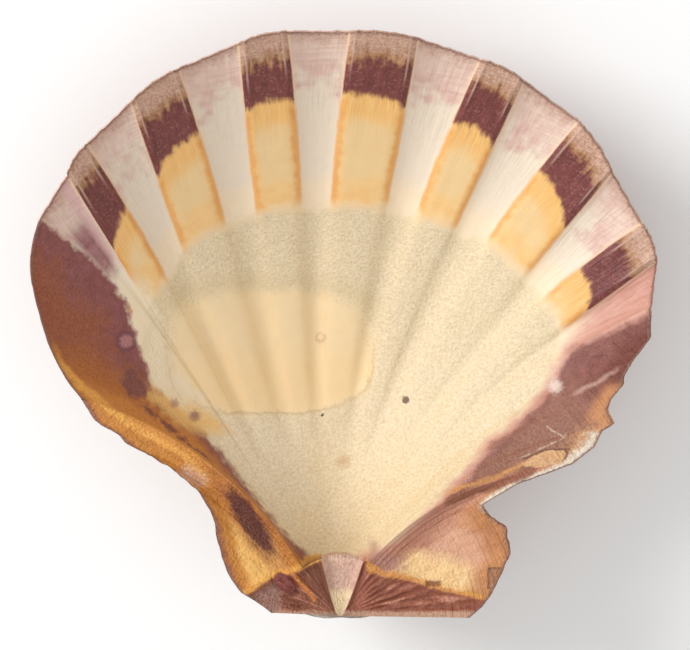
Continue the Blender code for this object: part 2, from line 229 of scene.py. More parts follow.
# The columns of the valve follow the growth lines. They stand close together at the edges of the bands,
# where the coloured ribs meet the white channels in a crease, and on the broken edges of the two flanks.
RAISED_SHARES = (0.0, 0.03, 0.06, 0.09, 0.12, 0.155, 0.2, 0.27, 0.34, 0.42, 0.5,
                 0.58, 0.66, 0.73, 0.8, 0.845, 0.88, 0.91, 0.94, 0.97)
CHANNEL_SHARES = (0.0, 0.05, 0.12, 0.2, 0.3, 0.4, 0.5, 0.6, 0.7, 0.8, 0.88, 0.95)
columns = [np.linspace(0.0, 1.0, 84, endpoint=False), np.linspace(1.0, 2.0, 58, endpoint=False)]
for number in range(len(RIB_EDGES) - 1):
    columns.append(RIBS_START + number + np.array(RAISED_SHARES if number % 2 else CHANNEL_SHARES))
columns.append(np.linspace(RIBS_END, EAR_START, 44))
columns.append(EAR_START + np.linspace(0.0, 1.0, 70) ** 1.2 * 0.995 + 0.005)
places = np.concatenate(columns)

# The hinge plate and the two ears. They are the straight top edge of the shell: a thick plate with a
# three-sided pit for the elastic ligament, low ridges and fine rays that lead out from it, and two wings.
PIT_HALF_WIDTH = 4.4
PIT_TIP_HALF_WIDTH = 0.5
PIT_LENGTH = 11.4
PIT_LEAN = 0.5
PIT_DEPTH = 2.2
PIT_CROSS_RIDGE, PIT_CROSS_SPACING = 0.1, 1.7
PLATE_LEVEL, PLATE_SLOPE = -0.5, -0.05
FRONT_EAR_DIP, BACK_EAR_DIP = 1.6, 1.4
RAY_ANGLE, RAY_HEIGHT, RAY_BED_DEPTH = 6.5, 0.28, 0.45
KNOB_HEIGHT, KNOB_GROOVE = 1.1, 0.35
FLAKE_DEPTH = 0.4
FRONT_RIDGE = (
    (4.6, 11.2), (6.2, 9.3), (8.6, 8.2), (12.5, 7.9), (16.5, 6.6), (20.9, 5.4), (25.5, 4.4), (28.5, 3.4),
)
BACK_RIDGE = (
    (-3.9, 11.3), (-6.4, 10.4), (-9.0, 8.9), (-12.6, 8.4), (-15.6, 6.6), (-18.4, 4.6), (-20.6, 3.6),
)
SMALL_RIDGE = ((-9.6, 8.4), (-7.2, 5.9), (-5.0, 3.2))
KNOB, KNOB_SIZE, KNOB_TURN = (-10.9, 6.4), (2.9, 1.6), math.radians(-42)
CHIP, CHIP_HALF = (30.9, 7.5), (1.35, 2.0)
SLOT, SLOT_HALF = (18.6, 6.4), (1.5, 0.45)


def line_gap(spots, line):
    """Signed distance from a line, positive on its right as it runs."""
    gap = np.full(len(spots), 1000.0)
    for start, end in zip(line, line[1:]):
        start, end = np.array(start), np.array(end)
        run = end - start
        share = np.clip(((spots - start) @ run) / (run @ run), 0.0, 1.0)
        away = spots - start - share[:, None] * run
        distance = np.linalg.norm(away, axis=1)
        right = np.where(run[0] * away[:, 1] - run[1] * away[:, 0] < 0.0, 1.0, -1.0)
        gap = np.where(distance < np.abs(gap), distance * right, gap)
    return gap


def oval_share(spots, middle, size, turn):
    """1 in the middle of a turned oval, 0 on its edge and less outside."""
    away = spots - np.array(middle)
    u = away[:, 0] * math.cos(turn) + away[:, 1] * math.sin(turn)
    v = away[:, 1] * math.cos(turn) - away[:, 0] * math.sin(turn)
    return 1.0 - np.hypot(u / size[0], v / size[1])


def box_gap(spots, middle, half):
    """Distance inside the edge of an upright box."""
    away = np.array(half) - np.abs(spots - np.array(middle))
    return np.minimum(away[:, 0], away[:, 1])


def pit_gap(spots):
    """Distance inside the edge of the ligament's pit, in millimetres."""
    share = np.clip(spots[:, 1] / PIT_LENGTH, 0.0, 1.1)
    half = PIT_TIP_HALF_WIDTH + (PIT_HALF_WIDTH - PIT_TIP_HALF_WIDTH) * share ** 0.8
    return half - np.abs(spots[:, 0] - PIT_LEAN * share)


def plate_height(place, spots):
    """Height of the hinge plate and of the ears."""
    x, y = spots[:, 0], spots[:, 1]
    height = PLATE_LEVEL + PLATE_SLOPE * y
    height = height - FRONT_EAR_DIP * smooth_step(6.0, 20.0, x) * hump(0.6, 0.3, place)
    height = height - BACK_EAR_DIP * smooth_step(6.0, 16.0, -x) * hump(18.42, 0.28, place)
    # the pit, with low cross ridges where the ligament grew
    inside_pit = np.clip(pit_gap(spots) / 1.6, 0.0, 1.0)
    pit_share = np.clip(y / PIT_LENGTH, 0.0, 1.1)
    cross = PIT_CROSS_RIDGE * np.sin(2.0 * math.pi * y / PIT_CROSS_SPACING) * smooth_step(4.5, 6.5, y)
    height = height + (cross - PIT_DEPTH * pit_share) * (1.0 - (1.0 - inside_pit) ** 2)
    # ridges beside the pit, the rays under them and the two small lumps of the back side
    front, back = line_gap(spots, FRONT_RIDGE), line_gap(spots, BACK_RIDGE)
    height = height + 0.8 * hump(0.0, 1.1, front) + 0.6 * hump(0.0, 1.0, back)
    angle = np.degrees(np.arctan2(y, np.abs(x)))
    rays = np.sin(2.0 * math.pi * angle / RAY_ANGLE + 0.8 * ragged(np.hypot(x, y), 0.6, 11))
    under = np.where(x > 0.0, smooth_step(0.6, 1.8, front), smooth_step(0.6, 1.8, -back))
    under = under * smooth_step(0.6, 1.6, y) * smooth_step(0.0, 0.5, -pit_gap(spots)) * (np.abs(x) < 30.0)
    height = height + under * (RAY_HEIGHT * rays * smooth_step(3.0, 8.0, np.abs(x)) - RAY_BED_DEPTH)
    height = height + 0.65 * hump(0.0, 0.7, line_gap(spots, SMALL_RIDGE))
    knob = np.clip(oval_share(spots, KNOB, KNOB_SIZE, KNOB_TURN), -0.35, 1.0)
    height = height + KNOB_HEIGHT * np.sqrt(np.clip(knob, 0.0, 1.0)) - KNOB_GROOVE * hump(-0.12, 0.12, knob)
    # a flake lost from the edge of the front ear, and a small slot
    for middle, half in ((CHIP, CHIP_HALF), (SLOT, SLOT_HALF)):
        height = height - FLAKE_DEPTH * smooth_step(-0.1, 0.4, box_gap(spots, middle, half))
    # the streaks of growth that run along the front ear
    return height + 0.14 * ragged(place, 70.0, 13) * smooth_step(9.0, 14.0, np.hypot(x, y))


# The inside of the bowl. Raised bands alternate with channels near the rim and die away over the smooth bed
# where the animal's mantle and its one big muscle were fixed.
UMBO_THICKENING = 7.0
PLATE_OVERHANG = 0.9
WALL_RUN = 1.8
WALL_STEEPNESS = 1.4
BOWL_ROW_SHIFT = 0.06
SOFTENING_STEP = 0.3
MANTLE_BED_DEPTH = 0.2
SCAR_DEPTH = 0.35
EAR_EDGE_FALL = 0.5
DEEP_RIB_SHARE = 0.45
PLATE_ROWS = 22
WALL_ROWS = 8
BOWL_ROWS = 104
PALLIAL_LINE = (
    (2.0, 0.760), (4.0, 0.755), (5.5, 0.735), (7.2, 0.710), (9.5, 0.700), (11.0, 0.698), (13.5, 0.715),
    (15.5, 0.700), (17.0, 0.690), (18.0, 0.710),
)
SCAR_MIDDLE, SCAR_SIZE = (-14.4, 53.0), (21.0, 13.0)


def bowl_weight(place):
    """1 inside the disc and 0 on the ears."""
    return np.where(place < 9.0, smooth_step(0.75, 1.7, place), (place < EAR_START + 0.001).astype(float))


def scar_gap(flat):
    """Distance inside the edge of the muscle's scar, about in millimetres."""
    offset = np.abs((flat[:, :2] - SCAR_MIDDLE) / SCAR_SIZE)
    edge = 1.0 + 0.025 * ragged(flat[:, 0], 0.5, 4)
    return (edge - (offset ** 3).sum(axis=1) ** (1 / 3)) * 15.0


def band_gap(flat):
    """Distance in a row from a band's nearest edge, above 0 on the raised bands, and from the crest."""
    run = np.concatenate([[0.0], np.cumsum(np.linalg.norm(np.diff(flat[:, :2], axis=0), axis=1))])
    edges = np.interp(np.arange(2, 18), places, run)
    below = np.clip(np.floor(places).astype(int), 2, 16) - 2
    gap = np.minimum(run - edges[below], edges[below + 1] - run)
    return np.where(below % 2 == 1, gap, -np.abs(gap)), np.interp(EAR_START, places, run) - run


def bowl_height(place, share):
    """Height of the smooth inside of the bowl, under its ribs."""
    height = -smooth_table(place, DEPTH_PLACES, DEPTH_SIZES) * drop_at(share)
    return height + UMBO_THICKENING * (1.0 - share) ** 1.6


def rib_room(place, share):
    """How far the ribs stand out on the inside, 1 at the rim and next to nothing deep in the bowl."""
    deep = 0.3 + DEEP_RIB_SHARE * smooth_step(5.0, 9.0, place) * smooth_step(-16.2, -14.4, -place)
    room = (deep + (1.0 - deep) * smooth_step(0.5, 0.95, share)) * smooth_step(0.25, 0.52, share)
    sides = smooth_step(2.2, 3.6, place) * smooth_step(-16.6, -15.2, -place)
    room = room * (sides + (1.0 - sides) * smooth_step(0.66, 0.86, share))
    return room * ((place > RIBS_START) & (place < RIBS_END))


def softened(heights, flat, share):
    """Heights of a row with the bend from the wall to the floor of the bowl rounded."""
    run = np.concatenate([[0.0], np.cumsum(np.linalg.norm(np.diff(flat, axis=0), axis=1))])
    even = np.arange(0.0, run[-1], SOFTENING_STEP)
    spread = 0.6 + 2.2 * smooth_step(0.2, 0.5, float(share[len(share) // 2]))
    soft = smoothed(np.interp(even, run, heights), spread / SOFTENING_STEP, 30)
    weight = smooth_step(1.5, 2.2, places) * smooth_step(-17.9, -17.4, -places)
    weight = weight * smooth_step(-0.97, -0.85, -share)
    return heights + (np.interp(run, even, soft) - heights) * weight


def inside_rows():
    """Rows of points of the inside from the hinge to the rim, with their shares and rib room."""
    ledge, end, length, plate = line_ends(places)
    weight = bowl_weight(places)
    rows, shares, rooms = [], [], []
    for number in range(PLATE_ROWS):
        share = plate / length * number / (PLATE_ROWS - 1)
        flat = growth_line(places, share)
        rows.append(np.column_stack([flat, plate_height(places, flat)]))
        shares.append(share)
        rooms.append(np.zeros(len(places)))
    steps = [("wall", (n + 1) / (WALL_ROWS + 1)) for n in range(WALL_ROWS)]
    steps += [("bowl", n / (BOWL_ROWS - 1)) for n in range(BOWL_ROWS)]
    for kind, step in steps:
        if kind == "wall":
            reach = plate + WALL_RUN * step - 2.0 * weight * PLATE_OVERHANG * math.sin(math.pi * step)
            fall = 1.0 - (1.0 - step) ** WALL_STEEPNESS
        else:
            step = step + BOWL_ROW_SHIFT * math.sin(math.pi * step)
            reach = plate + WALL_RUN + (length - plate - WALL_RUN) * step
            fall = 1.0
        share = np.minimum(reach / length, 1.0)
        flat = growth_line(places, share)
        low_share = np.minimum(np.maximum(share, (plate + WALL_RUN) / length), 1.0)
        plain = plate_height(places, flat)
        bowl = bowl_height(places, even_share(places, low_share))
        # the mantle's bed and the muscle's scar lie a little deeper than the shell outside them
        bed = (smooth_table(places, *zip(*PALLIAL_LINE)) - share) * length + 0.7 * ragged(places, 9.0, 2)
        sunk = MANTLE_BED_DEPTH * smooth_step(-0.4, 0.6, bed)
        scar = smooth_step(-0.5, 1.2, scar_gap(flat)) * smooth_step(-62.0, -52.0, -flat[:, 1])
        sunk = sunk + SCAR_DEPTH * scar
        bowl = softened(bowl, flat, share) - sunk * smooth_step(1.2, 2.2, places)
        height = plain * (1.0 - weight * fall) + bowl * weight * fall
        height = height * (1.0 - EAR_EDGE_FALL * smooth_step(0.8, 1.0, share) * (1.0 - weight))
        rows.append(np.column_stack([flat, height]))
        shares.append(share)
        rooms.append(rib_room(places, low_share) * weight * (kind == "bowl"))
    return rows, shares, rooms


# The outside and the rim. Outside, broad rounded ribs lie under the channels, crossed by the steps where
# growth paused; the rim between the two faces is a thin worn edge, and the beak curls up to the hinge.
RIM_THICKNESS = 1.7
EAR_THICKNESS = 2.3
RIM_ROUNDING = 0.4
RIM_ROWS = 3
FLANK_RIB_SHARE = 0.4
LEDGE_TURNS = (0.10, 0.22, 0.38, 0.58)
LEDGE_HEIGHT, LEDGE_RUN, LEDGE_WIDTH = 0.5, 0.08, 0.05
UMBO_BULGE = 0.6
OUTSIDE_ROWS = 52
OUTSIDE_ROW_SPREAD = 1.25
UMBO_ROWS = 6


def outside_rows():
    """Rows of points of the outside from the rim to the beak, with their turns from the rim."""
    ear = smooth_step(EAR_START + 0.08, EAR_START + 0.5, places) + 1.0 - smooth_step(0.75, 1.7, places)
    thickness = RIM_THICKNESS + (EAR_THICKNESS - RIM_THICKNESS) * ear
    depth = smooth_table(places, DEPTH_PLACES, DEPTH_SIZES)
    depth = np.where(places > EAR_START, smooth_table(places, EAR_DEPTH_PLACES, EAR_DEPTH_SIZES), depth)
    _, end, _, _ = line_ends(places)
    turns = UMBO_TURN * (np.arange(OUTSIDE_ROWS) / (OUTSIDE_ROWS - 1)) ** OUTSIDE_ROW_SPREAD
    base = []
    for turn in turns:
        scale = math.exp(-GROWTH_RATE * turn)
        share = np.full_like(places, scale * math.cos(turn))
        flat = growth_line(places, share)
        x = flat[:, 0] + end[:, 0] * scale * (1.0 - math.cos(turn))
        fall = drop_at(even_share(places, share)) - scale * math.sin(turn)
        fall = scale * math.sin(turn) + fall * smooth_step(-0.5, -0.3, -turn)
        base.append(np.column_stack([x, flat[:, 1], -depth * fall - thickness]))
    base = np.array(base)
    outward = np.cross(np.gradient(base, axis=0), np.gradient(base, axis=1))
    outward = outward / np.maximum(np.linalg.norm(outward, axis=2), 0.000001)[..., None]
    flank = smooth_step(2.0, 3.5, places) * smooth_step(-17.0, -15.5, -places)
    ribs = FLANK_RIB_SHARE + (1.0 - FLANK_RIB_SHARE) * flank
    ribs = ribs * ((places > RIBS_START) & (places < RIBS_END))
    disc = smooth_step(0.9, 1.6, places) * smooth_step(-18.0, -17.6, -places)
    rows, rooms, ways = [], [], []
    for number, turn in enumerate(turns):
        scale = math.exp(-GROWTH_RATE * turn)
        swell = np.zeros(len(places))
        for ledge in LEDGE_TURNS:
            step = (turn - ledge) / LEDGE_RUN * hump(ledge, LEDGE_WIDTH, turn)
            swell = swell + LEDGE_HEIGHT * scale * step * disc
        inside_rim = smooth_step(0.0, 0.25, turn)
        way = outward[number] * np.array([inside_rim, inside_rim, 1.0])
        rows.append(base[number] + way * swell[:, None])
        rooms.append(ribs * scale)
        ways.append(way)
    last = rows[-1]
    pole = np.array([0.0, -0.3, -0.5 - EAR_THICKNESS])
    for number in range(1, UMBO_ROWS):
        share = 1.0 - number / UMBO_ROWS
        row = pole + (last - pole) * share
        row[:, 1] -= UMBO_BULGE * math.sin(math.pi * share) * smooth_step(2.5, 9.0, -last[:, 2])
        rows.append(row)
        rooms.append(rooms[-1] * share)
        ways.append(ways[-1])
    turns = np.concatenate([turns, np.full(UMBO_ROWS - 1, UMBO_TURN)])
    return rows, turns, rooms, ways, pole


def zip_strip(first, second, lengths_first, lengths_second):
    """Triangles between two chains of points that run side by side."""
    faces = []
    a, b = 0, 0
    while a < len(first) - 1 or b < len(second) - 1:
        if b == len(second) - 1 or (a < len(first) - 1 and lengths_first[a + 1] <= lengths_second[b + 1]):
            faces.append((first[a], first[a + 1], second[b]))
            a += 1
        else:
            faces.append((first[a], second[b + 1], second[b]))
            b += 1
    return faces


inside, inside_shares, inside_rooms = inside_rows()
outside, outside_turns, outside_rooms, outside_ways, beak = outside_rows()
rim_top, rim_bottom = inside[-1], outside[0]
reach = np.linalg.norm(rim_top[:, :2], axis=1)
inset = np.minimum(RIM_ROUNDING / reach, 0.015)
rim = []
for number in range(1, RIM_ROWS + 1):
    share = number / (RIM_ROWS + 1)
    out = inset * (math.sin(math.pi * share) - 1.0)
    row = rim_top * (1.0 - share) + rim_bottom * share
    rim.append(np.column_stack([row[:, :2] * (1.0 + out)[:, None], row[:, 2]]))
for edge in (rim_top, rim_bottom):
    edge[:, :2] *= (1.0 - inset)[:, None]
rows = inside[1:] + rim + outside
count = len(places)
points = np.concatenate([inside[0][:1]] + rows + [beak[None]])
last = len(points) - 1
first_row = 1 + np.arange(count)
last_row = 1 + (len(rows) - 1) * count + np.arange(count)
faces = [(0, first_row[n], first_row[n + 1]) for n in range(count - 1)]
for number in range(len(rows) - 1):
    start = 1 + number * count
    below = start + count
    faces += [(start + n, below + n, below + n + 1, start + n + 1) for n in range(count - 1)]
faces += [(last, last_row[n + 1], last_row[n]) for n in range(count - 1)]
turning = len(inside) - 1 + RIM_ROWS // 2
for column, flip in ((0, False), (count - 1, True)):
    chain = [0] + [1 + n * count + column for n in range(len(rows))] + [last]
    front, back = chain[:turning + 1], chain[turning:][::-1]
    lengths = []
    for part in (front, back):
        steps = np.linalg.norm(np.diff(points[part], axis=0), axis=1)
        lengths.append(np.concatenate([[0.0], np.cumsum(steps)]) / steps.sum())
    for face in zip_strip(front, back, *lengths):
        if len(set(face)) == 3:
            faces.append(face[::-1] if flip else face)

across = np.concatenate([[FAN_MIDDLE], np.tile(places, len(rows)), [FAN_MIDDLE]])
shares = inside_shares[1:] + [np.ones(count)] * RIM_ROWS
shares += [np.full(count, math.exp(-GROWTH_RATE * turn) * math.cos(turn)) for turn in outside_turns]
grown = np.concatenate([[0.0]] + shares + [[0.0]])
side = np.concatenate([[1.0], np.ones(count * (len(inside) - 1)),
                       np.repeat(np.linspace(1.0, 0.0, RIM_ROWS + 2)[1:-1], count),
                       np.zeros(count * len(outside)), [0.0]])

# What the shell's own surface shows follows its growth: each mark lies at a distance, in millimetres, from
# the rim, from the edge of its band, or from the lines that the mantle and the muscle left behind.
PATCH_OUTER = (
    (3.5, 0.953), (5.5, 0.965), (7.5, 0.962), (9.5, 0.961), (11.5, 0.958), (13.5, 0.956), (15.5, 0.957),
)
PATCH_INNER = (
    (3.05, 0.825), (3.5, 0.850), (3.95, 0.853), (5.05, 0.863), (5.3, 0.875), (5.6, 0.889), (5.95, 0.890),
    (7.05, 0.874), (7.3, 0.884), (7.5, 0.890), (7.95, 0.882), (9.05, 0.880), (9.2, 0.888), (9.5, 0.893),
    (9.95, 0.894), (11.05, 0.880), (11.2, 0.887), (11.8, 0.888), (11.95, 0.884), (13.05, 0.886),
    (13.5, 0.878), (13.8, 0.871), (13.95, 0.858), (15.05, 0.863), (15.5, 0.850), (15.95, 0.828),
)
BACK_BORDER = (
    (-60.0, 79.5), (-52.5, 73.5), (-46.5, 67.6), (-43.1, 63.0), (-40.3, 53.0), (-37.9, 46.0),
    (-32.9, 41.0), (-27.9, 36.7), (-20.0, 27.0), (-12.0, 17.0), (-6.0, 11.0),
)
FRONT_BORDER = (
    (62.2, 61.4), (56.0, 58.5), (50.0, 55.6), (45.7, 53.4), (42.9, 47.8), (38.7, 41.7), (33.9, 37.3),
    (30.3, 34.7), (26.1, 29.3), (22.3, 25.6), (16.8, 19.3), (12.8, 15.7), (8.0, 12.8), (4.2, 11.4),
)
# The line of the sharp crest of the back ear, along which a highlight is painted.
CREST_HIGHLIGHT_LINE = (
    (-58.2, 56.0), (-55.6, 50.0), (-52.6, 46.6), (-46.8, 41.7), (-41.5, 37.9), (-36.1, 34.9),
    (-30.7, 31.5), (-27.2, 27.6),
)
ORANGE_RIDGE = ((19.9, 23.6), (24.9, 25.9), (30.4, 27.4), (36.7, 29.9))
# A line along a ridge of the front flank, on which a highlight is painted.
HIGHLIGHT_STREAK = ((55.4, 49.2), (51.0, 46.2), (47.0, 44.3))
# A line just inside the overhanging back edge, along which its shadow is painted.
SHADOW_LINE = ((-38.9, 40.9), (-35.3, 37.7), (-31.0, 34.2), (-26.9, 30.8), (-23.8, 27.6))
CRACK = ((36.9, 31.7), (39.5, 33.0), (43.2, 34.6), (44.9, 35.6), (42.4, 37.0), (40.3, 38.6))
LENS, LENS_SIZE, LENS_TURN = (-18.0, 18.8), (8.2, 2.1), math.radians(-56)
BLOTCH, BLOTCH_SIZE, BLOTCH_TURN = (-41.8, 46.4), (4.0, 1.7), math.radians(-63)
HOLLOW, HOLLOW_SIZE, HOLLOW_TURN = (41.2, 31.3), (4.4, 1.6), math.radians(14)

inside_count = len(inside) - 1
no_room = [[0.0] * count]
room_in = [[0.0]] + inside_rooms[1:] + [inside_rooms[-1]] * RIM_ROWS + no_room * len(outside) + [[0.0]]
room_in = np.concatenate(room_in)
room_out = [[0.0]] + no_room * inside_count + [outside_rooms[0]] * RIM_ROWS + outside_rooms + [[0.0]]
room_out = np.concatenate(room_out)
still, still_row = np.zeros((1, 3)), np.zeros((count, 3))
outward = [still] + [still_row] * inside_count + [outside_ways[0]] * RIM_ROWS + outside_ways + [still]
outward = np.concatenate(outward)
_, _, length, plate = line_ends(across)
band, crest = np.zeros(len(points)), np.zeros(len(points))
for number in range(len(rows)):
    row = slice(1 + number * count, 1 + (number + 1) * count)
    band[row], crest[row] = band_gap(points[row])
seen = points[:, :2]
fields = {
    "across": across,
    "grown": grown,
    "inside": side,
    "room_in": room_in * side,
    "room_out": room_out * (1.0 - side),
    "band": band,
    "crest": crest,
    "rim": (1.0 - grown) * length,
    "hinge": plate - grown * length,
    "patch_rim": (grown - np.interp(across, *zip(*PATCH_OUTER))) * length,
    "patch_bowl": (grown - np.interp(across, *zip(*PATCH_INNER))) * length,
    "mantle": (smooth_table(across, *zip(*PALLIAL_LINE)) - grown) * length,
    "back": line_gap(seen, BACK_BORDER),
    "front": -line_gap(seen, FRONT_BORDER),
    "scar": scar_gap(points),
    "pit": pit_gap(points),
    "crest_highlight": line_gap(seen, CREST_HIGHLIGHT_LINE),
    "lens": oval_share(seen, LENS, LENS_SIZE, LENS_TURN) * 2.2,
    "front_ridge": line_gap(seen, FRONT_RIDGE),
    "back_ridge": -line_gap(seen, BACK_RIDGE),
    "small_ridge": line_gap(seen, SMALL_RIDGE),
    "knob": oval_share(seen, KNOB, KNOB_SIZE, KNOB_TURN) * 2.0,
    "chip": box_gap(seen, CHIP, CHIP_HALF),
    "slot": box_gap(seen, SLOT, SLOT_HALF),
    "orange_ridge": line_gap(seen, ORANGE_RIDGE),
    "highlight_streak": line_gap(seen, HIGHLIGHT_STREAK),
    "crack": line_gap(seen, CRACK),
    "shadow_line": line_gap(seen, SHADOW_LINE),
    "blotch": oval_share(seen, BLOTCH, BLOTCH_SIZE, BLOTCH_TURN) * 2.0,
    "hollow": oval_share(seen, HOLLOW, HOLLOW_SIZE, HOLLOW_TURN) * 2.0,
}

# The valve starts as one closed smooth skin that carries its own measures from point to point.
skin = bpy.data.meshes.new("smooth_skin")
skin.from_pydata((points * MILLIMETRE).tolist(), [], [tuple(int(n) for n in face) for face in faces])
for name, values in fields.items():
    skin.attributes.new(name, "FLOAT", "POINT").data.foreach_set("value", values.astype(np.float32))
lines = np.column_stack([across * 10.0, grown * length, np.zeros(len(points))])
for name, values in (("plan", points), ("lines", lines), ("outward", outward)):
    attribute = skin.attributes.new(name, "FLOAT_VECTOR", "POINT")
    attribute.data.foreach_set("vector", values.astype(np.float32).ravel())
skin.polygons.foreach_set("use_smooth", np.ones(len(skin.polygons), dtype=bool))


def linear(code):
    """Linear colour of an sRGB hex value."""
    parts = [int(code[n:n + 2], 16) / 255 for n in (1, 3, 5)]
    return tuple(v / 12.92 if v <= 0.04045 else ((v + 0.055) / 1.055) ** 2.4 for v in parts) + (1.0,)


def add(tree, kind, inputs=None, **settings):
    """Adds a node with its settings and links."""
    node = tree.nodes.new(kind)
    for name, value in settings.items():
        setattr(node, name, value)
    for socket, value in (inputs or {}).items():
        if isinstance(value, bpy.types.NodeSocket):
            tree.links.new(value, node.inputs[socket])
        else:
            node.inputs[socket].default_value = value
    return node


# Ribs, gutters and riblets repeat round the fan, and fine growth ridges repeat from the rim to the beak.
# One tree of nodes grows them all out of the smooth skin, upwards inside and outwards outside.
growth = bpy.data.node_groups.new("growth_of_ribs", "GeometryNodeTree")
growth.interface.new_socket("Geometry", in_out="INPUT", socket_type="NodeSocketGeometry")
growth.interface.new_socket("Geometry", in_out="OUTPUT", socket_type="NodeSocketGeometry")
SIZES = (
    ("Band height", 1.2), ("Rib height", 2.0), ("Keel height", 0.34), ("Keel distance", 1.3),
    ("Riblets in a rib", 4.0), ("Riblet height", 0.2), ("Growth ridge spacing", 3.1),
    ("Growth ridge height", 0.16), ("Wear", 0.22), ("Seed", 7.0),
)
for name, size in SIZES:
    growth.interface.new_socket(name, in_out="INPUT", socket_type="NodeSocketFloat").default_value = size
growth.interface.new_socket("Calcite", in_out="INPUT", socket_type="NodeSocketMaterial")
given = add(growth, "NodeGroupInput").outputs
known = {
    name: add(growth, "GeometryNodeInputNamedAttribute", {0: name}, data_type="FLOAT").outputs[0]
    for name in ("across", "grown", "inside", "band", "rim", "room_in", "room_out")
}
outward_read, plan_read = (
    add(growth, "GeometryNodeInputNamedAttribute", {0: name}, data_type="FLOAT_VECTOR").outputs[0]
    for name in ("outward", "plan")
)
known.update({name: given[name] for name, _ in SIZES})
for name, scale, detail in (("sway", 0.09, 2.0), ("worn", 0.22, 4.0)):
    noise = {"Vector": plan_read, "W": given["Seed"], "Scale": scale, "Detail": detail}
    known[name] = add(growth, "ShaderNodeTexNoise", noise, noise_dimensions="4D").outputs[0]
# Each step is a name, an operation and what it works on: names of earlier steps, sizes, fields or numbers.
STEPS = (
    ("turned", "MULTIPLY", "across", -math.pi), ("wave", "SINE", "turned"),
    ("sharp", "SMOOTHSTEP", "grown", 0.62, 0.95), ("steep", "MULTIPLY_ADD", "sharp", 3.2, 1.1),
    ("wave_steep", "MULTIPLY", "wave", "steep"), ("wave_flat", "TANH", "wave_steep"),
    ("top", "TANH", "steep"), ("both", "DIVIDE", "wave_flat", "top"),
    ("down", "MULTIPLY", "wave", -1.0), ("dip", "MAXIMUM", "down", 0.0), ("gutter", "POWER", "dip", 0.8),
    ("is_gutter", "GREATER_THAN", "dip", 0.0), ("gutter_share", "MULTIPLY", "is_gutter", "sharp"),
    ("sum", "ADD", "both", "gutter"), ("less", "MULTIPLY", "sum", "gutter_share"),
    ("profile", "SUBTRACT", "both", "less"), ("bands", "MULTIPLY", "profile", "room_in"),
    ("bands_high", "MULTIPLY", "bands", "Band height"),
    ("from_keel", "SUBTRACT", "band", "Keel distance"), ("keel_near", "MULTIPLY", "from_keel", 3.0),
    ("keel_square", "MULTIPLY", "keel_near", "keel_near"), ("keel_minus", "MULTIPLY", "keel_square", -1.0),
    ("keel", "EXPONENT", "keel_minus"),
    ("lip_near", "MULTIPLY", "band", 3.0), ("lip_square", "MULTIPLY", "lip_near", "lip_near"),
    ("lip_minus", "MULTIPLY", "lip_square", -1.0), ("lip", "EXPONENT", "lip_minus"),
    ("keels", "MULTIPLY_ADD", "lip", 0.7, "keel"), ("keel_room", "SMOOTHSTEP", "grown", 0.84, 0.95),
    ("keels_here", "MULTIPLY", "keels", "keel_room"), ("keels_in", "MULTIPLY", "keels_here", "room_in"),
    ("keels_high", "MULTIPLY", "keels_in", "Keel height"), ("up", "ADD", "bands_high", "keels_high"),
    ("out_wave", "MULTIPLY", "wave", -1.0), ("ribs", "MULTIPLY", "out_wave", "Rib height"),
    ("turned_fine", "MULTIPLY", "turned", "Riblets in a rib"),
    ("fine_angle", "MULTIPLY", "turned_fine", 2.0), ("fine", "COSINE", "fine_angle"),
    ("riblets", "MULTIPLY_ADD", "fine", "Riblet height", "ribs"),
    ("out_ribs", "MULTIPLY", "riblets", "room_out"),
    # growth ridges, uneven in spacing, on the outside only
    ("swaying", "MULTIPLY_ADD", "sway", 22.0, "rim"),
    ("ridge_turns", "DIVIDE", "swaying", "Growth ridge spacing"), ("ridge_share", "FRACT", "ridge_turns"),
    ("outside_only", "SUBTRACT", 1.0, "inside"), ("from_rim", "LINEAR", "rim", 0.0, 4.0),
    ("ridge_high", "MULTIPLY", "ridge_share", "Growth ridge height"),
    ("ridge_out", "MULTIPLY", "ridge_high", "outside_only"), ("ridge", "MULTIPLY", "ridge_out", "from_rim"),
    ("out_sum", "ADD", "ridge", "out_ribs"),
    # a little uneven wear everywhere
    ("wear_even", "SUBTRACT", "worn", 0.5), ("wear", "MULTIPLY", "wear_even", "Wear"),
    ("up_worn", "ADD", "up", "wear"),
)
for name, operation, *of_what in STEPS:
    of_what = dict(enumerate(known.get(what, what) for what in of_what))
    if operation in ("SMOOTHSTEP", "LINEAR"):
        step = add(growth, "ShaderNodeMapRange", of_what, interpolation_type=operation)
    else:
        step = add(growth, "ShaderNodeMath", of_what, operation=operation)
    known[name] = step.outputs[0]
upwards = add(growth, "ShaderNodeCombineXYZ", {2: known["up_worn"]}).outputs[0]
outwards = {0: outward_read, "Scale": known["out_sum"]}
outwards = add(growth, "ShaderNodeVectorMath", outwards, operation="SCALE").outputs[0]
move = add(growth, "ShaderNodeVectorMath", {0: upwards, 1: outwards}, operation="ADD").outputs[0]
move = add(growth, "ShaderNodeVectorMath", {0: move, "Scale": MILLIMETRE}, operation="SCALE").outputs[0]
moved = {"Geometry": given["Geometry"], "Offset": move}
grown_skin = add(growth, "GeometryNodeSetPosition", moved).outputs[0]
real = add(growth, "GeometryNodeRealizeInstances", {0: grown_skin}).outputs[0]
real = add(growth, "GeometryNodeSetMaterial", {"Geometry": real, "Material": given["Calcite"]}).outputs[0]
add(growth, "NodeGroupOutput", {0: real})

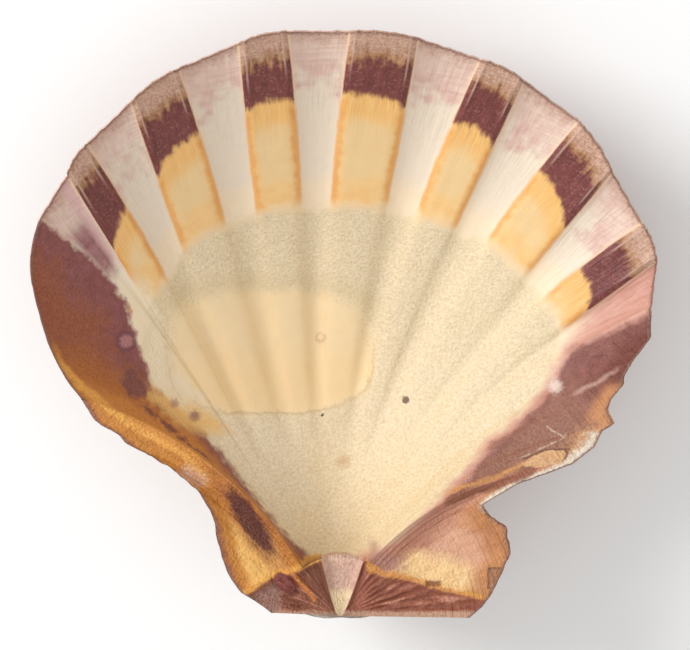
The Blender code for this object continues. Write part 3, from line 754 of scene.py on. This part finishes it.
# Calcite as a scallop lays it down: hard, dense and slightly waxy, stained by pigment in bands. Where the
# mantle lay it is finely grained, under the muscle it is smooth, and near the rim the growth lines show. A
# few highlights and shades are painted into its colour as well.
calcite = bpy.data.materials.new("worn_shell_calcite")
calcite.use_nodes = True
tree = calcite.node_tree
shader = tree.nodes["Principled BSDF"]
reads = {name: add(tree, "ShaderNodeAttribute", attribute_name=name).outputs["Fac"] for name in fields}
plan = add(tree, "ShaderNodeAttribute", attribute_name="plan").outputs["Vector"]
lines_read = add(tree, "ShaderNodeAttribute", attribute_name="lines").outputs["Vector"]
parts = add(tree, "ShaderNodeSeparateXYZ", {0: plan})
reads["x"], reads["y"], reads["z"] = parts.outputs

# Waves of the pattern, each about -0.5 to 0.5: name, what they run over, grain in millimetres and detail.
WAVES = (
    ("cloud", plan, (7.0, 7.0, 7.0), 2.0), ("mottle", plan, (2.2, 2.2, 2.2), 3.0),
    ("grain", plan, (0.55, 0.55, 0.55), 2.0), ("dust", plan, (0.28, 0.28, 0.28), 1.0),
    ("streak", lines_read, (0.9, 7.0, 1.0), 2.0), ("growth", lines_read, (14.0, 0.9, 1.0), 2.0),
)
waves = {}
for name, source, grain, detail in WAVES:
    sized = {0: source, 1: tuple(1 / size for size in grain)}
    sized = add(tree, "ShaderNodeVectorMath", sized, operation="MULTIPLY").outputs[0]
    noise = {"Vector": sized, "Scale": 1.0, "Detail": detail, "Roughness": 0.6}
    noise = add(tree, "ShaderNodeTexNoise", noise).outputs[0]
    waves[name] = add(tree, "ShaderNodeMath", {0: noise, 1: 0.5}, operation="SUBTRACT").outputs[0]

both = add(tree, "ShaderNodeMath", {0: waves["streak"], 1: waves["mottle"]}, operation="ADD").outputs[0]
waves["smear"] = add(tree, "ShaderNodeMath", {0: both, 1: 0.6}, operation="MULTIPLY").outputs[0]


def share_where(ranges):
    """Share of a mark at each point: the product of soft steps over its ranges, None where it has none."""
    share = None
    for field, start, end, *fray in ranges:
        value = reads.get(field) or waves[field]
        if fray:
            frayed = {0: waves[fray[0]], 1: fray[1], 2: value}
            value = add(tree, "ShaderNodeMath", frayed, operation="MULTIPLY_ADD").outputs[0]
        step = {0: value, 1: start, 2: end}
        step = add(tree, "ShaderNodeMapRange", step, interpolation_type="SMOOTHSTEP").outputs[0]
        if share is not None:
            step = add(tree, "ShaderNodeMath", {0: share, 1: step}, operation="MULTIPLY").outputs[0]
        share = step
    return share


# One entry for each of the stains, and for each highlight and shade painted into the colour, in the order
# in which
# they lie on one another: two colours that a wave mixes, the wave, the strength, and where the mark is, as
# ranges of the fields. A range may name the wave that frays it and how far, in millimetres.
STAINS_AND_PAINTED_LIGHT = (
    ("#e9d6b4", "#f4dfb6", "cloud", 1.0, ()),
    # the bowl: a warm wash at the lower right, greyer on the left, and the speckled bed of the mantle
    ("#f6d9a0", "#f9deac", "mottle", 0.7,
     (("y", 40.0, 20.0, "cloud", 20.0), ("x", -14.0, 4.0, "cloud", 16.0))),
    ("#ecdfc4", "#f2e6cc", "cloud", 0.8,
     (("x", -4.0, -16.0, "cloud", 18.0), ("y", 42.0, 36.0, "cloud", 6.0))),
    ("#c1a87c", "#f2e2c4", "grain", 0.6,
     (("mantle", -1.2, 1.6, "mottle", 3.0), ("scar", 2.4, -0.6, "grain", 6.0))),
    ("#f0cf98", "#f4d8a6", "mottle", 0.6, (("scar", -1.6, 2.4, "grain", 5.0),)),
    ("#f0cf98", "#f2d3a0", "mottle", 0.6,
     (("scar", -0.6, 1.0, "mottle", 2.6), ("y", 56.0, 48.0), ("x", -34.0, -24.0, "mottle", 8.0))),
    ("#d6c096", "#e0cba2", "mottle", 0.6,
     (("scar", 3.0, -1.0, "cloud", 4.0), ("scar", -5.0, -0.6), ("y", 56.0, 64.0))),
    ("#c0a880", "#c0a880", "mottle", 0.45,
     (("scar", -0.7, 0.0, "mottle", 1.6), ("scar", 0.5, 0.0, "mottle", 1.6), ("y", 56.0, 46.0))),
    # outside the line of the mantle: the white channels, pink and then brownish towards the rim
    ("#f3dfc0", "#efd8b8", "mottle", 1.0, (("mantle", 0.8, -1.4, "mottle", 3.0),)),
    ("#e4d6c2", "#ecdcc8", "mottle", 0.9,
     (("mantle", -4.0, -9.0, "cloud", 4.0), ("band", 0.4, -0.8, "mottle", 0.8))),
    ("#c9928e", "#e2b8ac", "mottle", 0.7,
     (("rim", 15.0, 10.0, "smear", 9.0), ("rim", 3.0, 7.0, "smear", 6.0), ("band", 0.1, -0.3),
      ("cloud", -0.06, 0.1))),
    ("#d9b3a4", "#e9cdbe", "mottle", 0.85, (("rim", 10.0, 4.0, "smear", 6.0), ("band", 0.1, -0.3))),
    ("#a77c6a", "#d2a795", "grain", 0.6, (("rim", 3.5, 0.8, "smear", 4.0), ("band", 0.1, -0.3))),
    ("#c4826f", "#d9a08e", "streak", 0.85, (("across", 3.04, 2.96), ("rim", 24.0, 12.0, "smear", 10.0))),
    ("#7c3c44", "#b0797a", "mottle", 0.92,
     (("across", 16.05, 16.3), ("across", 17.0, 16.75), ("rim", 21.0, 16.0, "smear", 7.0),
      ("rim", 5.0, 10.0, "smear", 7.0))),
    ("#dcb0ac", "#dcb0ac", "mottle", 0.7,
     (("across", 16.0, 16.1), ("across", 16.45, 16.25), ("rim", 22.0, 15.0, "smear", 7.0))),
    # and the coloured bands: yellow with orange edges, a maroon patch, and a speckled end
    ("#efbf7c", "#f3cc8e", "mottle", 1.0,
     (("mantle", 1.2, -2.4, "mottle", 3.0), ("band", -0.7, 0.9, "mottle", 1.2))),
    ("#e8cb98", "#eed3a2", "cloud", 0.65,
     (("mantle", -4.0, -8.0, "cloud", 7.0), ("band", 0.8, 2.6, "mottle", 1.6),
      ("patch_bowl", -2.5, -6.0, "cloud", 6.0))),
    ("#eeb25e", "#f3c27c", "streak", 0.75,
     (("patch_bowl", -7.0, -3.0, "smear", 6.0), ("band", -0.3, 0.6, "mottle", 0.6))),
    ("#dc913f", "#ecab5a", "smear", 0.7,
     (("mantle", 0.4, -2.6, "cloud", 6.0), ("band", -0.5, 0.15, "mottle", 0.5),
      ("band", 1.7, 0.3, "mottle", 1.8), ("patch_bowl", 0.0, -2.0))),
    ("#a97a66", "#d9b7a6", "grain", 0.92, (("patch_rim", -1.5, 1.5, "smear", 7.0), ("band", 0.0, 0.3))),
    ("#5a1f26", "#803a3e", "smear", 0.97,
     (("patch_bowl", -0.9, 0.9, "smear", 4.0), ("patch_rim", 2.2, -2.2, "smear", 8.0),
      ("band", -0.1, 0.2, "mottle", 0.4))),
    ("#c09a8e", "#a8706a", "dust", 0.45,
     (("patch_bowl", 0.5, 1.5), ("patch_rim", 1.0, -3.5, "smear", 8.0), ("grain", 0.0, 0.3),
      ("band", 0.0, 0.3))),
    ("#dcbcab", "#dcbcab", "grain", 0.45,
     (("band", 0.9, 1.2), ("band", 1.6, 1.4), ("rim", 11.0, 6.0, "smear", 6.0))),
    ("#e7cebf", "#e7cebf", "grain", 0.4,
     (("band", -0.5, -0.15), ("band", 0.3, 0.1), ("rim", 24.0, 14.0, "smear", 5.0))),
    # the back flank: maroon above, brown, then orange along the sharp crest
    ("#7a3b34", "#96565a", "mottle", 0.98, (("back", -0.5, 0.9, "mottle", 3.0),)),
    ("#b28076", "#9c645c", "grain", 0.5,
     (("back", 1.0, 3.0, "mottle", 3.0), ("grain", 0.06, 0.16), ("rim", 16.0, 6.0, "cloud", 10.0))),
    ("#8c4830", "#a6603c", "grain", 0.85,
     (("back", 3.0, 9.0, "cloud", 12.0), ("y", 84.0, 72.0, "cloud", 10.0))),
    ("#a55c2a", "#bd7436", "grain", 0.9,
     (("back", 0.5, 3.0, "mottle", 2.0), ("crest", 17.0, 7.0, "cloud", 14.0),
      ("y", 66.0, 50.0, "cloud", 10.0))),
    ("#c67a34", "#d48c44", "grain", 0.85,
     (("back", 0.5, 3.0, "mottle", 2.0), ("crest", 8.0, 2.0, "mottle", 5.0),
      ("y", 62.0, 46.0, "cloud", 12.0))),
    ("#e9b566", "#efc47e", "mottle", 0.85,
     (("back", -5.0, -2.0, "mottle", 5.0), ("back", 3.4, 1.2, "mottle", 3.0),
      ("y", 47.0, 43.0, "mottle", 5.0), ("y", 34.0, 38.0, "mottle", 3.0))),
    ("#efddbc", "#efddbc", "mottle", 0.9,
     (("back", -6.5, -4.0, "mottle", 5.0), ("back", 0.0, -0.6, "mottle", 2.0),
      ("y", 70.0, 64.0, "mottle", 4.0), ("y", 39.0, 44.0, "mottle", 6.0))),
    ("#5e3038", "#83504f", "grain", 0.8, (("blotch", -0.9, 0.7, "mottle", 4.5),)),
    # painted shadow: a dark, broken line just inside the overhanging back edge, where its shade falls into
    # the bowl
    ("#5c2a30", "#7c4644", "grain", 0.85,
     (("shadow_line", -0.9, 0.0, "mottle", 2.4), ("shadow_line", 0.9, 0.0, "mottle", 2.4),
      ("mottle", -0.1, 0.02))),
    # the front flank: purple brown with a pink margin, darker outside, crumbled and pale below
    ("#723d38", "#975c52", "mottle", 0.97, (("front", -0.5, 0.9, "mottle", 3.0),)),
    ("#c98c7c", "#d9a793", "mottle", 0.7,
     (("front", -1.6, 0.3, "smear", 4.0), ("front", 1.8, 0.4, "smear", 4.0))),
    ("#652b24", "#7f4334", "streak", 0.85,
     (("front", 2.0, 5.0), ("rim", 12.0, 4.0, "cloud", 8.0), ("y", 42.0, 47.0, "cloud", 4.0))),
    ("#b28468", "#865444", "grain", 0.65,
     (("front", 0.8, 3.0, "smear", 4.0), ("y", 50.0, 38.0, "cloud", 12.0))),
    # a painted highlight: a pale stripe along a ridge of the front flank
    ("#d2aa9b", "#d2aa9b", "smear", 0.6,
     (("highlight_streak", -0.8, 0.0, "mottle", 1.2), ("highlight_streak", 0.8, 0.0, "mottle", 1.2),
      ("x", 44.0, 49.0), ("x", 58.0, 53.0))),
    ("#cf8852", "#dfa270", "smear", 0.8,
     (("front", 7.0, 11.0, "smear", 6.0), ("rim", 6.0, 2.0, "smear", 7.0),
      ("y", 48.0, 44.0, "mottle", 3.0))),
    ("#d8a676", "#b98460", "grain", 0.7,
     (("front", 4.0, 8.0, "mottle", 6.0), ("rim", 8.0, 4.0, "mottle", 6.0),
      ("y", 39.0, 36.0, "mottle", 4.0))),
    # the ears and the hinge plate
    ("#dc9540", "#c27a34", "mottle", 0.97, (("crest", 0.15, -0.15), ("inside", 0.3, 0.7))),
    ("#e0a452", "#d08a40", "mottle", 0.97,
     (("hinge", -0.35, -0.05), ("x", 0.4, 0.2), ("pit", 0.3, 0.0), ("inside", 0.3, 0.7))),
    ("#eeb45e", "#f4c272", "mottle", 0.85,
     (("crest", -2.0, -5.0, "mottle", 3.0), ("rim", 3.5, 6.0, "mottle", 3.0),
      ("y", 21.0, 15.0, "mottle", 4.0), ("back_ridge", 0.3, -0.8))),
    ("#aa6132", "#aa6132", "smear", 0.6, (("lens", -2.4, -0.2, "smear", 3.0), ("crest", 0.2, -0.4))),
    ("#4a1c1c", "#6e3426", "smear", 0.95, (("lens", -0.5, 0.7, "smear", 2.4), ("crest", 1.2, 0.2))),
    ("#8a4a34", "#a4664a", "grain", 0.85, (("crest", 0.0, -0.5), ("rim", 2.8, 0.6, "mottle", 5.0))),
    # a painted highlight: a bright orange stripe along the sharp crest of the back ear, where it catches
    # the light
    ("#f4b55c", "#dc9440", "grain", 0.9,
     (("crest_highlight", -1.1, -0.3, "mottle", 1.6), ("crest_highlight", 1.1, 0.3, "mottle", 1.6),
      ("y", 57.0, 47.0, "mottle", 4.0))),
    ("#cf9478", "#b8765e", "streak", 0.97,
     (("front", 0.0, 0.6, "mottle", 1.0), ("x", 2.0, 3.0), ("across", 1.02, 0.98), ("inside", 0.3, 0.7))),
    ("#cf9478", "#b8765e", "streak", 0.97,
     (("hinge", -0.35, -0.05), ("x", 0.2, 0.4), ("pit", 0.3, 0.0), ("inside", 0.3, 0.7))),
    ("#eab898", "#d89c7a", "smear", 0.85,
     (("front", 3.0, 7.0, "mottle", 4.0), ("across", 0.9, 0.7, "smear", 0.3), ("inside", 0.3, 0.7))),
    ("#a2644f", "#c08873", "streak", 0.5,
     (("front", 3.6, 0.6, "smear", 5.0), ("across", 1.0, 0.95), ("y", 9.0, 12.0))),
    ("#8a4c3a", "#c08468", "streak", 0.5,
     (("streak", 0.0, 0.16), ("front", 7.0, 3.0, "smear", 6.0), ("across", 1.0, 0.95), ("y", 9.0, 12.0))),
    ("#f6c684", "#fbd8a0", "mottle", 0.92,
     (("front_ridge", -7.5, -4.0, "mottle", 5.0), ("front_ridge", 0.2, -0.2),
      ("x", 9.0, 14.0, "mottle", 5.0), ("x", 30.0, 24.0, "mottle", 5.0), ("front", 2.0, 5.0))),
    ("#a86436", "#cf8c50", "smear", 0.85,
     (("rim", 9.0, 3.0, "cloud", 8.0), ("across", 0.85, 0.75), ("x", 19.0, 25.0, "smear", 5.0))),
    ("#ab7c70", "#ab7c70", "smear", 0.6,
     (("front_ridge", -5.0, -3.0, "mottle", 2.0), ("front_ridge", -0.4, -1.4, "mottle", 2.0),
      ("x", 5.0, 7.0), ("x", 15.0, 11.0, "mottle", 4.0))),
    # below the ridges: dark speckled triangles with fans of fine rays, a paler strip along the hinge line
    ("#74382b", "#b07058", "streak", 0.95,
     (("back_ridge", 0.0, 0.7, "mottle", 0.8), ("x", 0.4, 0.2), ("x", -22.0, -20.0), ("pit", 0.3, 0.0),
      ("inside", 0.3, 0.7))),
    ("#78392a", "#b46c52", "streak", 0.95,
     (("front_ridge", 0.0, 0.7, "mottle", 0.8), ("x", 0.2, 0.4), ("x", 30.5, 28.5, "mottle", 2.0),
      ("pit", 0.3, 0.0), ("inside", 0.3, 0.7))),
    ("#e0a98c", "#b06a54", "grain", 0.85,
     (("front_ridge", 0.8, 1.6), ("streak", 0.02, 0.16), ("x", 4.0, 6.0), ("y", 1.2, 2.0))),
    ("#dca088", "#b87a68", "grain", 0.8,
     (("back_ridge", 0.6, 1.4), ("streak", 0.02, 0.16), ("x", -1.5, -3.0), ("x", -10.0, -8.0))),
    ("#9a7064", "#bc9284", "grain", 0.75,
     (("back_ridge", 0.8, 1.8), ("x", -10.5, -12.5, "mottle", 2.0), ("y", 8.0, 6.0),
      ("inside", 0.3, 0.7))),
    ("#cf8236", "#e2a24e", "smear", 0.9,
     (("front_ridge", -1.0, -0.1, "mottle", 2.2), ("front_ridge", 0.9, 0.1, "mottle", 2.0),
      ("pit", -0.4, -0.8), ("y", 2.8, 3.6))),
    ("#e0983f", "#f0b862", "smear", 0.9,
     (("back_ridge", -1.2, -0.2, "mottle", 2.2), ("back_ridge", 0.7, 0.0, "mottle", 1.6),
      ("pit", -0.4, -0.8), ("y", 3.2, 4.2))),
    ("#de8b4c", "#de8b4c", "mottle", 0.9,
     (("small_ridge", -0.8, -0.2, "mottle", 0.6), ("small_ridge", 0.8, 0.2, "mottle", 0.6))),
    ("#8a4640", "#8a4640", "mottle", 0.95, (("knob", -0.1, 0.2, "mottle", 0.4),)),
    ("#cca186", "#cca186", "mottle", 0.8, (("y", 1.3, 0.5, "mottle", 1.0), ("hinge", -40.0, -39.0))),
    ("#a5775c", "#a5775c", "grain", 0.8, (("chip", -0.1, 0.2, "grain", 0.5),)),
    # painted shade: a dark line round the edge of the lost flake, where its step lies in shade
    ("#6c422d", "#6c422d", "grain", 0.75,
     (("chip", -0.3, 0.0, "grain", 0.7), ("chip", 0.3, 0.0, "grain", 0.7))),
    # painted shade: the inside of the small slot painted dark, for the shade in it
    ("#8a5434", "#8a5434", "grain", 0.8, (("slot", -0.3, 0.1, "grain", 0.8),)),
    # crumbled shell, a ridge and a hollow at the foot of the front flank
    ("#ead6bc", "#cfae90", "grain", 0.95,
     (("rim", 4.4, 2.4, "mottle", 4.5), ("x", 27.0, 29.5), ("y", 20.0, 22.5),
      ("y", 37.5, 35.0, "mottle", 3.0))),
    ("#f8f0e2", "#e0c8ac", "grain", 0.9,
     (("rim", 3.0, 1.4, "mottle", 4.0), ("x", 27.0, 29.5), ("y", 20.0, 22.5),
      ("y", 37.5, 35.0, "mottle", 3.0))),
    ("#c88444", "#e2a663", "smear", 0.8,
     (("orange_ridge", -1.0, 0.2, "smear", 2.6), ("orange_ridge", 0.9, 0.1, "smear", 2.4),
      ("x", 20.0, 23.0))),
    # painted shade: a dark band along the lower side of the orange ridge, where the ridge is in shade
    ("#8a4f36", "#8a4f36", "smear", 0.8,
     (("orange_ridge", 0.5, 1.2, "mottle", 0.8), ("orange_ridge", 3.0, 2.0, "mottle", 2.0),
      ("x", 20.0, 22.0))),
    ("#c98e5c", "#ecc493", "grain", 0.9, (("hollow", -0.1, 0.3, "mottle", 1.4),)),
    # painted shade: the upper rim of the hollow darker, where its wall is in shade
    ("#67392a", "#67392a", "grain", 0.85,
     (("hollow", -0.35, 0.0, "mottle", 1.4), ("hollow", 0.4, 0.0, "mottle", 1.4), ("y", 30.5, 31.5))),
    ("#dcc2a8", "#dcc2a8", "grain", 0.7,
     (("crack", -0.3, 0.0, "mottle", 1.0), ("crack", 0.3, 0.0, "mottle", 1.0), ("mottle", -0.08, 0.04))),
    # the ligament's pit
    ("#cd9a86", "#e4c4ae", "growth", 0.97, (("pit", 0.0, 0.25), ("hinge", -0.1, 0.2))),
    ("#f2d6aa", "#f2d6aa", "mottle", 0.95, (("pit", 0.0, 0.4), ("y", 5.8, 4.2, "mottle", 1.5))),
    # the worn rim
    ("#a07666", "#a07666", "dust", 0.9, (("rim", 1.0, 0.3, "grain", 1.2), ("inside", 0.9, 0.98))),
    # the outside: reddish brown with paler worn ribs and clouds of maroon in growth bands
    ("#9a5f50", "#b98270", "streak", 1.0, (("inside", 0.6, 0.3),)),
    ("#e2c7b4", "#d0a48e", "mottle", 0.7,
     (("inside", 0.3, 0.1), ("band", 0.2, -1.4, "mottle", 1.6), ("growth", -0.3, 0.3))),
    ("#7a3f3c", "#8f5248", "mottle", 0.8,
     (("inside", 0.3, 0.1), ("cloud", 0.02, 0.14), ("growth", -0.06, 0.1))),
    ("#ecdccd", "#dcc5b2", "grain", 0.85, (("inside", 0.3, 0.1), ("grown", 0.42, 0.22, "cloud", 0.3))),
)
# Small round spots: place, radius, softness, colour and strength.
SPOTS = (
    ((-43.2, 54.7), 2.0, 0.6, "#6f3c48", 0.85), ((-43.2, 54.7), 1.35, 0.5, "#b47c7c", 0.9),
    ((43.3, 45.7), 1.25, 0.9, "#ead6c8", 0.85), ((13.4, 42.7), 0.75, 0.2, "#6a4a33", 0.95),
    ((-3.6, 39.5), 0.3, 0.1, "#3c2a22", 0.9), ((-4.0, 55.4), 1.1, 0.35, "#cfa878", 0.6),
    ((-4.0, 55.6), 0.6, 0.3, "#f0d9b0", 0.8), ((-29.6, 39.5), 1.0, 0.7, "#8a5a5c", 0.75),
    ((-33.6, 42.1), 0.8, 0.6, "#a0706c", 0.65), ((-30.4, 28.3), 1.5, 1.2, "#d2a892", 0.7),
    ((-28.0, 27.0), 1.4, 1.1, "#cfa58e", 0.7), ((0.6, 29.9), 1.3, 0.9, "#c39a64", 0.55),
    ((30.8, 7.6), 1.5, 0.1, "#a9714c", 0.6),
)
colour = None
for first, second, wave, strength, ranges in STAINS_AND_PAINTED_LIGHT:
    mask = share_where(ranges)
    layer_colour = linear(first)
    if first != second:
        tone = add(tree, "ShaderNodeMapRange", {0: waves[wave], 1: -0.25, 2: 0.25}).outputs[0]
        mixed = {0: tone, 6: layer_colour, 7: linear(second)}
        layer_colour = add(tree, "ShaderNodeMix", mixed, data_type="RGBA").outputs[2]
    if colour is None:
        colour = layer_colour
        continue
    mask = add(tree, "ShaderNodeMath", {0: mask, 1: strength}, operation="MULTIPLY").outputs[0]
    colour = add(tree, "ShaderNodeMix", {0: mask, 6: colour, 7: layer_colour}, data_type="RGBA").outputs[2]
flat = add(tree, "ShaderNodeCombineXYZ", {0: reads["x"], 1: reads["y"]}).outputs[0]
for spot, radius, soft, code, strength in SPOTS:
    away = {0: flat, 1: (*spot, 0.0)}
    away = add(tree, "ShaderNodeVectorMath", away, operation="DISTANCE").outputs["Value"]
    away = {0: waves["grain"], 1: soft + 0.6, 2: away}
    away = add(tree, "ShaderNodeMath", away, operation="MULTIPLY_ADD").outputs[0]
    step = {0: away, 1: radius + soft, 2: radius - soft, 4: strength}
    step = add(tree, "ShaderNodeMapRange", step, interpolation_type="SMOOTHSTEP").outputs[0]
    mask = add(tree, "ShaderNodeMath", {0: reads["inside"], 1: step}, operation="MULTIPLY").outputs[0]
    colour = add(tree, "ShaderNodeMix", {0: mask, 6: colour, 7: linear(code)}, data_type="RGBA").outputs[2]
tree.links.new(colour, shader.inputs["Base Color"])

# One entry for each kind of relief that is too fine for the mesh: its wave or none, its height in
# millimetres, and where it is, in the same way as the stains.
RELIEFS = (
    ("grain", 0.14, (("mantle", 0.0, 1.0, "mottle", 3.0), ("scar", 0.6, -0.4, "mottle", 2.0))),
    ("grain", 0.10,
     (("mantle", 0.0, 1.0, "mottle", 3.0), ("y", 40.0, 60.0, "cloud", 20.0), ("scar", 0.6, -0.4))),
    ("mottle", 0.20, (("hinge", 0.0, 3.0), ("inside", 0.3, 0.7), ("crest", 0.0, 4.0))),
    ("mottle", 0.08, ()),
    (None, -0.10, (("mantle", -0.8, 0.8, "mottle", 3.0),)),
    (None, -0.12, (("scar", -0.3, 0.3, "mottle", 1.6), ("y", 56.0, 48.0))),
    ("streak", 0.35, (("rim", 26.0, 10.0),)),
    ("growth", 0.30, (("rim", 16.0, 4.0), ("scar", 0.0, -1.0))),
    ("grain", 0.30, (("back", 0.0, 2.0, "mottle", 2.0),)),
    ("grain", 0.35, (("front", 0.0, 2.0, "mottle", 2.0),)),
    ("growth", 0.5, (("front", 0.0, 2.0, "mottle", 2.0), ("rim", 14.0, 4.0))),
    ("streak", 0.7,
     (("hinge", -30.0, -10.0), ("y", 12.0, 8.0), ("inside", 0.3, 0.7), ("pit", 0.2, -0.2))),
    ("growth", 0.5, (("pit", 0.0, 0.3), ("hinge", -0.1, 0.2))),
    ("grain", 0.16, (("crest", 0.0, -0.5), ("inside", 0.3, 0.7))),
    ("streak", 0.3, (("crest", 0.0, -0.5), ("inside", 0.3, 0.7))),
    ("grain", 0.5, (("rim", 1.6, 0.5, "mottle", 1.0),)),
    ("growth", 0.45, (("inside", 0.4, 0.1),)),
    ("streak", 0.4, (("inside", 0.4, 0.1),)),
    ("grain", 0.4, (("inside", 0.4, 0.1),)),
)
height = None
for wave, size, ranges in RELIEFS:
    mask = share_where(ranges)
    rise = waves[wave] if wave else 1.0
    if mask is not None:
        rise = add(tree, "ShaderNodeMath", {0: rise, 1: mask}, operation="MULTIPLY").outputs[0]
    height = {0: rise, 1: size, 2: height or 0.0}
    height = add(tree, "ShaderNodeMath", height, operation="MULTIPLY_ADD").outputs[0]
bump = add(tree, "ShaderNodeBump", {"Strength": 1.0, "Distance": MILLIMETRE, "Height": height})
tree.links.new(bump.outputs[0], shader.inputs["Normal"])
shader.inputs["Roughness"].default_value = 0.5
shader.inputs["Specular IOR Level"].default_value = 0.38
shader.inputs["IOR"].default_value = 1.56

# The grown valve is made a plain mesh, and put down as it comes to rest on its rounded outside.
seedling = bpy.data.objects.new("valve_seedling", skin)
bpy.context.scene.collection.objects.link(seedling)
modifier = seedling.modifiers.new("growth", "NODES")
modifier.node_group = growth
for socket in growth.interface.items_tree:
    if socket.in_out == "INPUT" and socket.name != "Geometry":
        modifier[socket.identifier] = calcite if socket.name == "Calcite" else socket.default_value
mesh = bpy.data.meshes.new_from_object(seedling.evaluated_get(bpy.context.evaluated_depsgraph_get()))
seedling.modifiers.clear()
bpy.data.objects.remove(seedling)
mesh.name = "valve_shell"
tilt = Matrix.Rotation(REST_TILT_Y, 4, "Y") @ Matrix.Rotation(REST_TILT_X, 4, "X")
mesh.transform(tilt)
corners = np.array([vertex.co[:] for vertex in mesh.vertices])
low, high = corners.min(axis=0), corners.max(axis=0)
node_low, node_high = (np.array(corner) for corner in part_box("valve"))
shift = (node_low + node_high) / 2 - (low + high) / 2
shift[2] = node_low[2] - low[2]
mesh.transform(Matrix.Translation(shift))
valve = bpy.data.objects.new("valve_shell", mesh)
bpy.context.scene.collection.objects.link(valve)
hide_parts("valve")
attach(valve, "root")

# The floor is a plain pale sheet, wide enough to fill the view.
floor_mesh = bpy.data.meshes.new("pale_floor")
floor_mesh.from_pydata([(-3, -3, 0), (3, -3, 0), (3, 3, 0), (-3, 3, 0)], [], [(0, 1, 2, 3)])
floor = bpy.data.objects.new("pale_floor", floor_mesh)
bpy.context.scene.collection.objects.link(floor)
floor_paint = bpy.data.materials.new("pale_paper")
floor_paint.use_nodes = True
floor_shader = floor_paint.node_tree.nodes["Principled BSDF"]
floor_shader.inputs["Base Color"].default_value = linear("#fbfbfa")
floor_shader.inputs["Roughness"].default_value = 0.9
floor_mesh.materials.append(floor_paint)

# The camera looks square into the open side, so it leans by the angle at which the valve rests.
PICTURE_SCALE = 0.19936
PICTURE_MIDDLE = Vector((1.0, 58.0, 0.0))
CAMERA_DISTANCE = 900.0
SENSOR = 36.0
PICTURE_WIDTH = 690
camera_data = bpy.data.cameras.new("camera")
camera_data.sensor_width = SENSOR
camera_data.lens = SENSOR * CAMERA_DISTANCE / (PICTURE_WIDTH * PICTURE_SCALE)
camera_data.clip_end = 10.0
camera = bpy.data.objects.new("camera", camera_data)
camera_place = (PICTURE_MIDDLE + Vector((0.0, 0.0, CAMERA_DISTANCE))) * MILLIMETRE
camera.matrix_world = Matrix.Translation(shift) @ tilt @ Matrix.Translation(camera_place)
bpy.context.scene.collection.objects.link(camera)
bpy.context.scene.camera = camera

# Soft light from the upper left, as in the photograph, with a weak one opposite.
LIGHTS = (("key", (-0.75, 0.4, 0.55), 0.55, 7.7), ("fill", (0.4, -0.3, 1.0), 1.4, 2.75))
for name, spot, size, power in LIGHTS:
    light_data = bpy.data.lights.new(name, "AREA")
    light_data.size = size
    light_data.energy = power
    light = bpy.data.objects.new(name, light_data)
    light.location = spot
    light.rotation_euler = (-Vector(spot)).to_track_quat("-Z", "Y").to_euler()
    bpy.context.scene.collection.objects.link(light)
world = bpy.data.worlds.new("studio")
world.use_nodes = True
sky = world.node_tree.nodes["Background"]
sky.inputs["Color"].default_value = (1.0, 1.0, 1.0, 1.0)
sky.inputs["Strength"].default_value = 0.58
bpy.context.scene.world = world
bpy.context.scene.view_settings.view_transform = "Standard"
